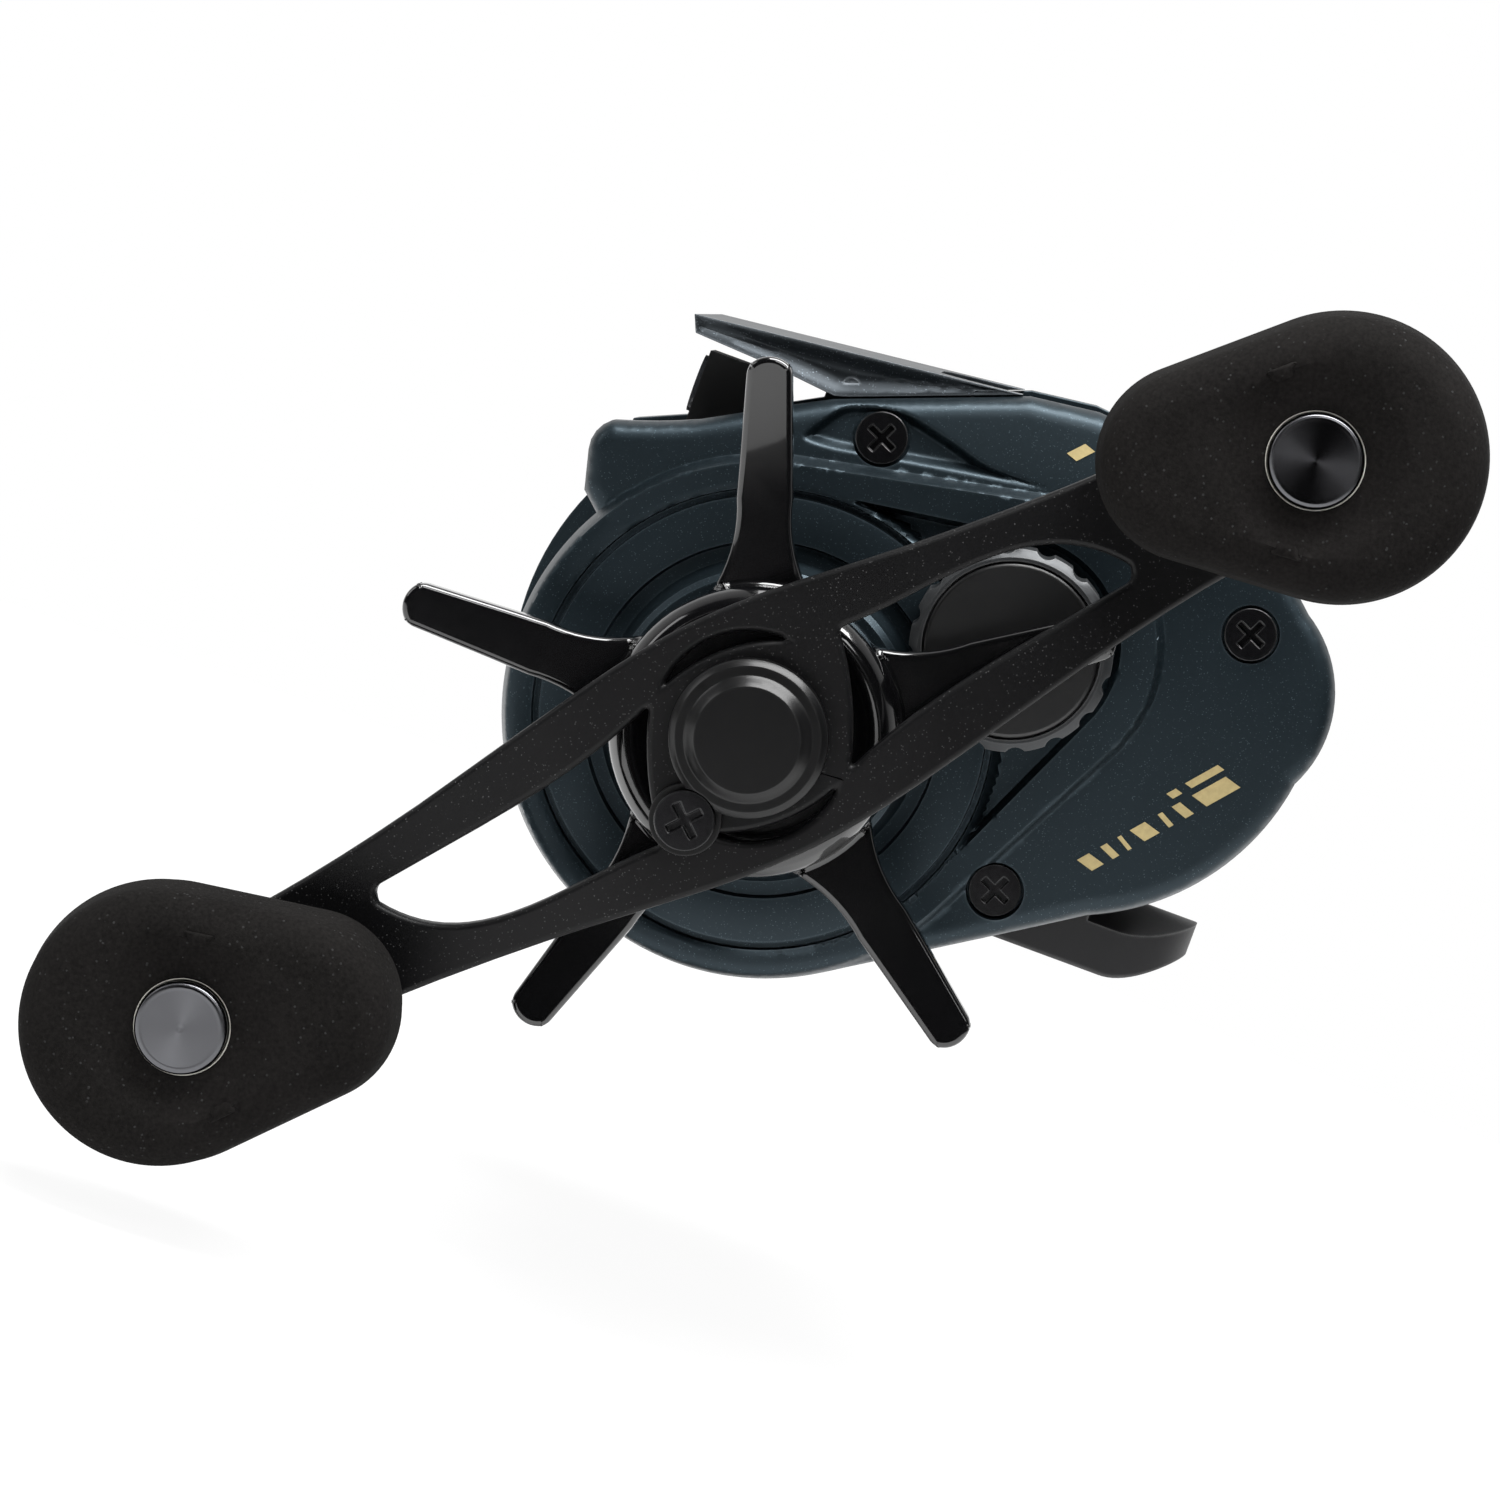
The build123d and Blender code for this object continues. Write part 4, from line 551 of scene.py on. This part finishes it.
def staggered_grid(low, high, pitch):
    """Even field of points in staggered rows."""
    columns = np.arange(low[0], high[0], pitch)
    rows = np.arange(low[1], high[1], pitch * 0.87)
    return np.array([(x + (pitch / 2 if row % 2 else 0), z) for row, z in enumerate(rows) for x in columns])


def build_cover():
    """Pressed and painted cover with its housing, belt, valley, pocket and screw recesses."""
    outline = cover_outline()
    loops = [outline]
    loops += [belt_outline(HOUSING - inset, 12.2 - inset) for inset in (0.0, 0.23, 0.47, 0.7)]
    loops += [belt_outline(INNER_BELT - inset, 8.7 - inset) for inset in (0.0, 0.25, 0.5)]
    belts = len(loops)
    loops += [circle_loop(DRIVE, radius, 200) for radius, _ in HOUSING_STEPS]
    loops += [circle_loop(SPOOL, radius, 60) for radius in (4.15, 6.15, 6.25)]
    for screw in COVER_SCREWS:
        loops += [circle_loop(screw, radius, 40) for radius in (1.1, 2.28, 2.34)]
    low = np.min(outline, axis=0)
    high = np.max(outline, axis=0)
    grid = staggered_grid(low, high, 0.42)
    fine = staggered_grid(np.array((-6.0, 36.5)), np.array((17.0, 44.0)), 0.2)
    fine = fine[np.abs(outline_distance(fine[:, 0], fine[:, 1], SCREW_POCKET) - 0.45) < 0.75]
    grid = np.concatenate((grid, fine))
    depth = outline_distance(grid[:, 0], grid[:, 1], outline)
    in_housing = np.hypot(grid[:, 0] - DRIVE[0], grid[:, 1] - DRIVE[1]) < 18.6
    grid = grid[(depth > 0.25) & ~in_housing]
    points, edges = [], []
    for number, loop in enumerate(loops):
        clear = [not 0 < number < belts or math.hypot(x - DRIVE[0], z - DRIVE[1]) > INNER_BELT + 0.02
                 for x, z in loop]
        spot = {}
        for i, (point, free) in enumerate(zip(loop, clear)):
            if free:
                spot[i] = len(points)
                points.append(point)
        for i in range(len(loop)):
            after = (i + 1) % len(loop)
            if i in spot and after in spot:
                edges.append((spot[i], spot[after]))
    points += [tuple(point) for point in grid]
    flat = [Vector(point) for point in points]
    verts, _, faces, _, _, _ = delaunay_2d_cdt(flat, edges, [], 0, 1e-5)
    x = np.array([v.x for v in verts])
    z = np.array([v.y for v in verts])
    corners = np.array([list(face) for face in faces])
    mid_x = x[corners].mean(axis=1)
    mid_z = z[corners].mean(axis=1)
    keep = outline_distance(mid_x, mid_z, outline) > 0
    keep &= np.hypot(mid_x - DRIVE[0], mid_z - DRIVE[1]) > 6.65
    keep &= np.hypot(mid_x - SPOOL[0], mid_z - SPOOL[1]) > 4.15
    for screw_x, screw_z in COVER_SCREWS:
        keep &= np.hypot(mid_x - screw_x, mid_z - screw_z) > 1.1
    y = cover_height(x, z, outline)
    work = bmesh.new()
    made = [work.verts.new((px * MM, py * MM, pz * MM)) for px, py, pz in zip(x, y, z)]
    for face in corners[keep]:
        work.faces.new([made[i] for i in face])
    bmesh.ops.delete(work, geom=[v for v in work.verts if not v.link_faces], context="VERTS")
    rim = [edge for edge in work.edges if edge.is_boundary]
    skirt = bmesh.ops.extrude_edge_only(work, edges=rim)["geom"]
    for vert in (item for item in skirt if isinstance(item, bmesh.types.BMVert)):
        vert.co.y = COVER_BACK * MM
    bmesh.ops.recalc_face_normals(work, faces=work.faces)
    mesh = bpy.data.meshes.new("handle_side_cover")
    work.to_mesh(mesh)
    work.free()
    smooth_faces(mesh, 38.0)
    cover = add_piece("handle_side_cover", mesh, "side_plate_paint", "body")
    shell = cover.modifiers.new("sheet", "SOLIDIFY")
    shell.thickness = 0.6 * MM
    shell.offset = -1
    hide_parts("handle_side_plate")
    return cover


# ---------------------------------------------------------------- knobs
def knob_rings(centre, lean):
    """Rings of the foam paddle from its back bore, round its edge, to the dish at the front."""
    back, face = 37.4, 49.0
    wide, narrow, offset, span = 11.0, 7.5, 2.2, 10.9
    point_x, point_z = -math.cos(math.radians(lean)), math.sin(math.radians(lean))
    count = 144

    def paddle(inset):
        big, small = wide - inset, narrow - inset
        open_angle = math.acos((big - small) / span)
        arc_big = (FULL_TURN - 2 * open_angle) * wide
        arc_small = 2 * open_angle * narrow
        side = span * math.sin(open_angle)
        total = arc_big + arc_small + 2 * side
        points = []
        for i in range(count):
            run = (i + 0.5) / count * total
            if run < arc_small:
                angle = -open_angle + run / narrow
                points.append((span - offset + small * math.cos(angle), small * math.sin(angle)))
            elif run < arc_small + side:
                share = (run - arc_small) / side
                start = (span - offset + small * math.cos(open_angle), small * math.sin(open_angle))
                end = (-offset + big * math.cos(open_angle), big * math.sin(open_angle))
                points.append((start[0] + (end[0] - start[0]) * share, start[1] + (end[1] - start[1]) * share))
            elif run < arc_small + side + arc_big:
                angle = open_angle + (run - arc_small - side) / wide
                points.append((-offset + big * math.cos(angle), big * math.sin(angle)))
            else:
                share = (run - arc_small - side - arc_big) / side
                start = (-offset + big * math.cos(open_angle), -big * math.sin(open_angle))
                end = (span - offset + small * math.cos(open_angle), -small * math.sin(open_angle))
                points.append((start[0] + (end[0] - start[0]) * share, start[1] + (end[1] - start[1]) * share))
        return points

    edge = paddle(0.0)
    directions = [math.atan2(b, a) for a, b in edge]

    def ring(y, inset, bore=None, share=0.0):
        points = []
        for (a, b), angle in zip(paddle(inset), directions):
            if bore is not None:
                a += (bore * math.cos(angle) - a) * share
                b += (bore * math.sin(angle) - b) * share
            points.append((centre[0] + a * point_x + b * point_z, y, centre[1] + a * point_z - b * point_x))
        return points

    corner = 3.0
    steps = 8
    rings = [ring(back + 3.0, 0, 4.5, 1.0), ring(back + 0.1, 0, 4.5, 1.0), ring(back, 0, 5.2, 1.0),
             ring(back, corner + 0.35, 5.2, 0.5)]
    for i in range(steps + 1):
        angle = math.pi / 2 * i / steps
        rings.append(ring(back + corner * (1 - math.cos(angle)), 0.35 + corner * (1 - math.sin(angle))))
    rings.append(ring((back + face) / 2, 0.0))
    for i in range(steps + 1):
        angle = math.pi / 2 * i / steps
        rings.append(ring(face - corner * (1 - math.sin(angle)), 0.35 + corner * (1 - math.cos(angle))))
    dish = ((0.35, 7.0, 0.0), (0.7, 7.0, 0.02), (1.0, 7.0, 0.10), (1.0, 6.7, 0.22), (1.0, 6.3, 0.42), (1.0, 5.8, 0.62),
            (1.0, 5.2, 0.80), (1.0, 4.6, 0.93), (1.0, 4.1, 1.0), (1.0, 3.72, 1.05), (1.0, 3.70, 3.0))
    for share, radius, sunk in dish:
        rings.append(ring(face - sunk, corner + 0.35, radius, share))
    return rings


def build_knob(name, centre, lean):
    """Foam paddle with soft edges and a dish round its cap."""
    mesh = ring_mesh(name + "_paddle", knob_rings(centre, lean), close_start=False, close_end=False)
    smooth_faces(mesh, 60.0)
    paddle = add_piece(name + "_paddle", mesh, "foam", name)
    wall = paddle.modifiers.new("foam_wall", "SOLIDIFY")
    wall.thickness = 0.5 * MM
    wall.offset = -1
    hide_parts(name + "_foam")
    return paddle


def build_knob_cap(name, centre):
    """Spun cap with fine turned rings and a rolled edge."""
    face = 49.0
    profile = [(face - 2.0, 3.5), (face - 0.42, 3.55), (face - 0.2, 3.48), (face - 0.06, 3.32), (face, 3.1)]
    turns = 10
    for i in range(turns):
        outer = 3.0 - 2.7 * i / turns
        profile += [(face - 0.03, outer), (face - 0.012, outer - 0.13)]
    profile += [(face - 0.03, 0.24), (face - 0.03, 0.05)]
    mesh = ring_mesh(name + "_spun_cap", turned_rings(centre, profile, 96))
    smooth_faces(mesh, 40.0)
    cap = add_piece(name + "_spun_cap", mesh, "cap_metal", name)
    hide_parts(name + "_cap")
    return cap


# ---------------------------------------------------------------- hood
def scoop_face(work, face, side):
    """Swap one flat cheek for a finely divided one that dips between its edges."""
    rim = list(face.verts)
    outline = [(vert.co.x / MM, vert.co.z / MM) for vert in rim]
    level = rim[0].co.y
    low, high = np.min(outline, axis=0), np.max(outline, axis=0)
    pitch = 0.4
    spots = [(x, z) for x in np.arange(low[0], high[0], pitch) for z in np.arange(low[1], high[1], pitch)]
    spots = np.array(spots)
    depth = outline_distance(spots[:, 0], spots[:, 1], outline)
    spots = spots[depth > 0.2]
    points = outline + [tuple(spot) for spot in spots]
    edges = [(i, (i + 1) % len(outline)) for i in range(len(outline))]
    verts, _, faces, origins, _, _ = delaunay_2d_cdt([Vector(point) for point in points], edges, [], 1, 1e-6)
    inside = outline_distance(np.array([v.x for v in verts]), np.array([v.y for v in verts]), outline)
    made = []
    for vert, origin, reach in zip(verts, origins, inside):
        on_rim = [i for i in origin if i < len(rim)]
        if on_rim:
            made.append(rim[on_rim[0]])
        else:
            dip = 0.85 * float(eased(reach / 1.5)) * MM
            made.append(work.verts.new((vert.x * MM, level - side * dip, vert.y * MM)))
    work.faces.remove(face)
    for corners in faces:
        work.faces.new([made[i] for i in corners])


def scoop_cheeks(work):
    """Press a shallow scoop into each flat cheek of the hood."""
    work.normal_update()
    for side in (-1, 1):
        flat = [face for face in work.faces if face.normal.y * side > 0.99]
        flat = [face for face in flat if abs(face.calc_center_median().y) > 16.0 * MM]
        if flat:
            scoop_face(work, max(flat, key=lambda face: face.calc_area()), side)
    bmesh.ops.recalc_face_normals(work, faces=work.faces)


# ---------------------------------------------------------------- printed marks
def build_dashes(name, strips, level):
    """Plain printed dashes: flat strips that lie just on the paint."""
    work = bmesh.new()
    for (x, z), (end_x, end_z), width in strips:
        run = Vector((end_x - x, end_z - z)).normalized()
        side = Vector((-run.y, run.x)) * width / 2
        lean = run * min(width * 0.45, 0.4 * (Vector((end_x - x, end_z - z))).length)
        corners = [(x - side.x, z - side.y), (end_x - side.x - lean.x, end_z - side.y - lean.y),
                   (end_x + side.x, end_z + side.y), (x + side.x + lean.x, z + side.y + lean.y)]
        lower = [work.verts.new((cx * MM, (level(cx, cz) + 0.01) * MM, cz * MM)) for cx, cz in corners]
        upper = [work.verts.new((cx * MM, (level(cx, cz) + 0.05) * MM, cz * MM)) for cx, cz in corners]
        work.faces.new(lower)
        work.faces.new(list(reversed(upper)))
        for i in range(4):
            j = (i + 1) % 4
            work.faces.new((lower[i], upper[i], upper[j], lower[j]))
    bmesh.ops.recalc_face_normals(work, faces=work.faces)
    mesh = bpy.data.meshes.new(name)
    work.to_mesh(mesh)
    work.free()
    return add_piece(name, mesh, "gold_print", "body")


def plate_level(x, z):
    """Level of the cover at one spot."""
    spot = np.array([x]), np.array([z])
    return float(cover_height(*spot, cover_outline())[0])


def build_marks():
    """Pinstripe dashes on the tail and a short one on the crown."""
    start, end = Vector((-17.4, 13.6)), Vector((-26.6, 24.4))
    run = (end - start).normalized()
    aside = Vector((run.y, -run.x))
    strips = []
    long_row = ((0.00, 0.12), (0.15, 0.22), (0.26, 0.30), (0.34, 0.48), (0.52, 0.57), (0.61, 0.70), (0.74, 1.00))
    short_row = ((0.62, 0.70), (0.74, 0.97))
    for row, height, bars in ((0.0, 1.35, long_row), (1.5, 0.6, short_row)):
        for first, last in bars:
            a = start + (end - start) * first + aside * row
            b = start + (end - start) * last + aside * row
            strips.append(((a.x, a.y), (b.x, b.y), height))
    build_dashes("tail_pinstripe", strips, plate_level)
    build_dashes("crown_pinstripe", [((-5.2, 43.9), (-6.6, 45.4), 0.9)], plate_level)


# ---------------------------------------------------------------- studio
def light_studio():
    """White backdrop, one large soft lamp above, a weaker one in front and a weak fill at the side."""
    world = bpy.data.worlds.new("studio")
    bpy.context.scene.world = world
    world.use_nodes = True
    tree = world.node_tree
    tree.nodes.clear()
    rays = tree.nodes.new("ShaderNodeLightPath")
    where = tree.nodes.new("ShaderNodeTexCoord")
    split = tree.nodes.new("ShaderNodeSeparateXYZ")
    wire(tree, where.outputs["Generated"], split.inputs[0])
    behind = tree.nodes.new("ShaderNodeMapRange")
    behind.inputs["From Min"].default_value = 0.1
    behind.inputs["From Max"].default_value = -0.5
    behind.inputs["To Min"].default_value = 0.02
    behind.inputs["To Max"].default_value = 1.0
    wire(tree, split.outputs["Y"], behind.inputs["Value"])
    seen = add_math(tree, "MULTIPLY", add_math(tree, "ADD", rays.outputs["Is Glossy Ray"],
                                               rays.outputs["Is Transmission Ray"], clamp=True), behind.outputs[0])
    direct = add_math(tree, "MAXIMUM", rays.outputs["Is Camera Ray"], seen)
    fill = add_math(tree, "MULTIPLY", rays.outputs["Is Diffuse Ray"], 0.45)
    strength = add_math(tree, "MAXIMUM", direct, fill)
    back = tree.nodes.new("ShaderNodeBackground")
    back.inputs["Color"].default_value = (1, 1, 1, 1)
    out = tree.nodes.new("ShaderNodeOutputWorld")
    wire(tree, strength, back.inputs["Strength"])
    wire(tree, back.outputs[0], out.inputs["Surface"])

    def lamp(name, place, aim, size, power):
        data = bpy.data.lights.new(name, "AREA")
        data.shape = "RECTANGLE"
        data.size, data.size_y = size[0] * MM, size[1] * MM
        data.energy = power
        item = bpy.data.objects.new(name, data)
        bpy.context.scene.collection.objects.link(item)
        item.location = Vector(place) * MM
        item.rotation_mode = "QUATERNION"
        item.rotation_quaternion = (Vector(aim) - Vector(place)).to_track_quat("-Z", "Y")

    lamp("overhead_softbox", (-20, 100, 400), (-4, 15, 30), (360, 200), 4.4)
    lamp("upper_front_softbox", (-60, 330, 300), (0, 20, 24), (180, 120), 0.5)
    lamp("side_fill", (380, 120, 160), (0, 20, 20), (120, 200), 0.25)


def lay_floor():
    """Pale floor just below the lowest reach of the knobs."""
    level = KNOB_2[1] - 16.7
    material = bpy.data.materials.new("pale_floor")
    material.use_nodes = True
    tree = material.node_tree
    shader = tree.nodes["Principled BSDF"]
    shader.inputs["Base Color"].default_value = (0.8, 0.8, 0.8, 1)
    shader.inputs["Roughness"].default_value = 0.9
    shader.inputs["Specular IOR Level"].default_value = 0.0
    glow = tree.nodes.new("ShaderNodeEmission")
    glow.inputs["Strength"].default_value = 1.06
    rays = tree.nodes.new("ShaderNodeLightPath")
    mix = tree.nodes.new("ShaderNodeMixShader")
    share = add_math(tree, "MULTIPLY", rays.outputs["Is Camera Ray"], 0.86)
    out = tree.nodes["Material Output"]
    wire(tree, share, mix.inputs[0])
    wire(tree, shader.outputs[0], mix.inputs[1])
    wire(tree, glow.outputs[0], mix.inputs[2])
    wire(tree, mix.outputs[0], out.inputs["Surface"])
    work = bmesh.new()
    bmesh.ops.create_circle(work, cap_ends=True, segments=96, radius=0.32)
    mesh = bpy.data.meshes.new("studio_floor")
    work.to_mesh(mesh)
    work.free()
    mesh.materials.append(material)
    floor = bpy.data.objects.new("studio_floor", mesh)
    floor.location.z = level * MM
    bpy.context.scene.collection.objects.link(floor)


def wound_springs():
    """Copy of the yoke springs with a mesh of its own, riding on the same body; the CAD springs are hidden."""
    node = "yoke_springs"
    piece = add_piece(node + "_wound", nodes[node].data.copy(), slot_of_node[node], body_of_node[node])
    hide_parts(node)
    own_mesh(piece)


# ---------------------------------------------------------------- put it together
KNOB_1_LEAN, KNOB_2_LEAN = 202.0, 27.0
for node, piece in nodes.items():
    finish = finishes[slot_of_node[node]]
    if piece.data.materials:
        for place in range(len(piece.data.materials)):
            piece.material_slots[place].material = finish
    else:
        piece.data.materials.append(finish)

place_camera()
light_studio()
lay_floor()
build_cover()
build_knob("knob_1", KNOB_1, KNOB_1_LEAN)
build_knob("knob_2", KNOB_2, KNOB_2_LEAN)
build_knob_cap("knob_1", KNOB_1)
build_knob_cap("knob_2", KNOB_2)
build_marks()
softened("star_drag", 0.5, "star_gloss", segments=4, merge=0.08, clamp=False)
softened("handle_arm", 0.5, "handle_black", segments=3, merge=0.08, clamp=False)
softened("nut_cap", 0.15, "nut_black")
softened("retainer_screw", 0.1, "black_screw")
softened("cast_control_cap", 0.2, "cap_knurl")
softened("cap_disc", 0.1, "cap_face")
softened("side_screws", 0.12, "black_screw")
softened("reel_foot", 0.45, "foot_metal", segments=3)
softened("front_hood", 0.5, "hood_metal", segments=3, shape=scoop_cheeks)
softened("line_guide", 0.3, "guide_plastic")
softened("palm_side_plate", 1.1, slot_of_node["palm_side_plate"], angle=14.0, segments=4)
softened("thumb_bar", 0.35, slot_of_node["thumb_bar"])
softened("brake_dial", 0.2, slot_of_node["brake_dial"])
wound_springs()

bpy.context.scene.view_settings.view_transform = "Standard"
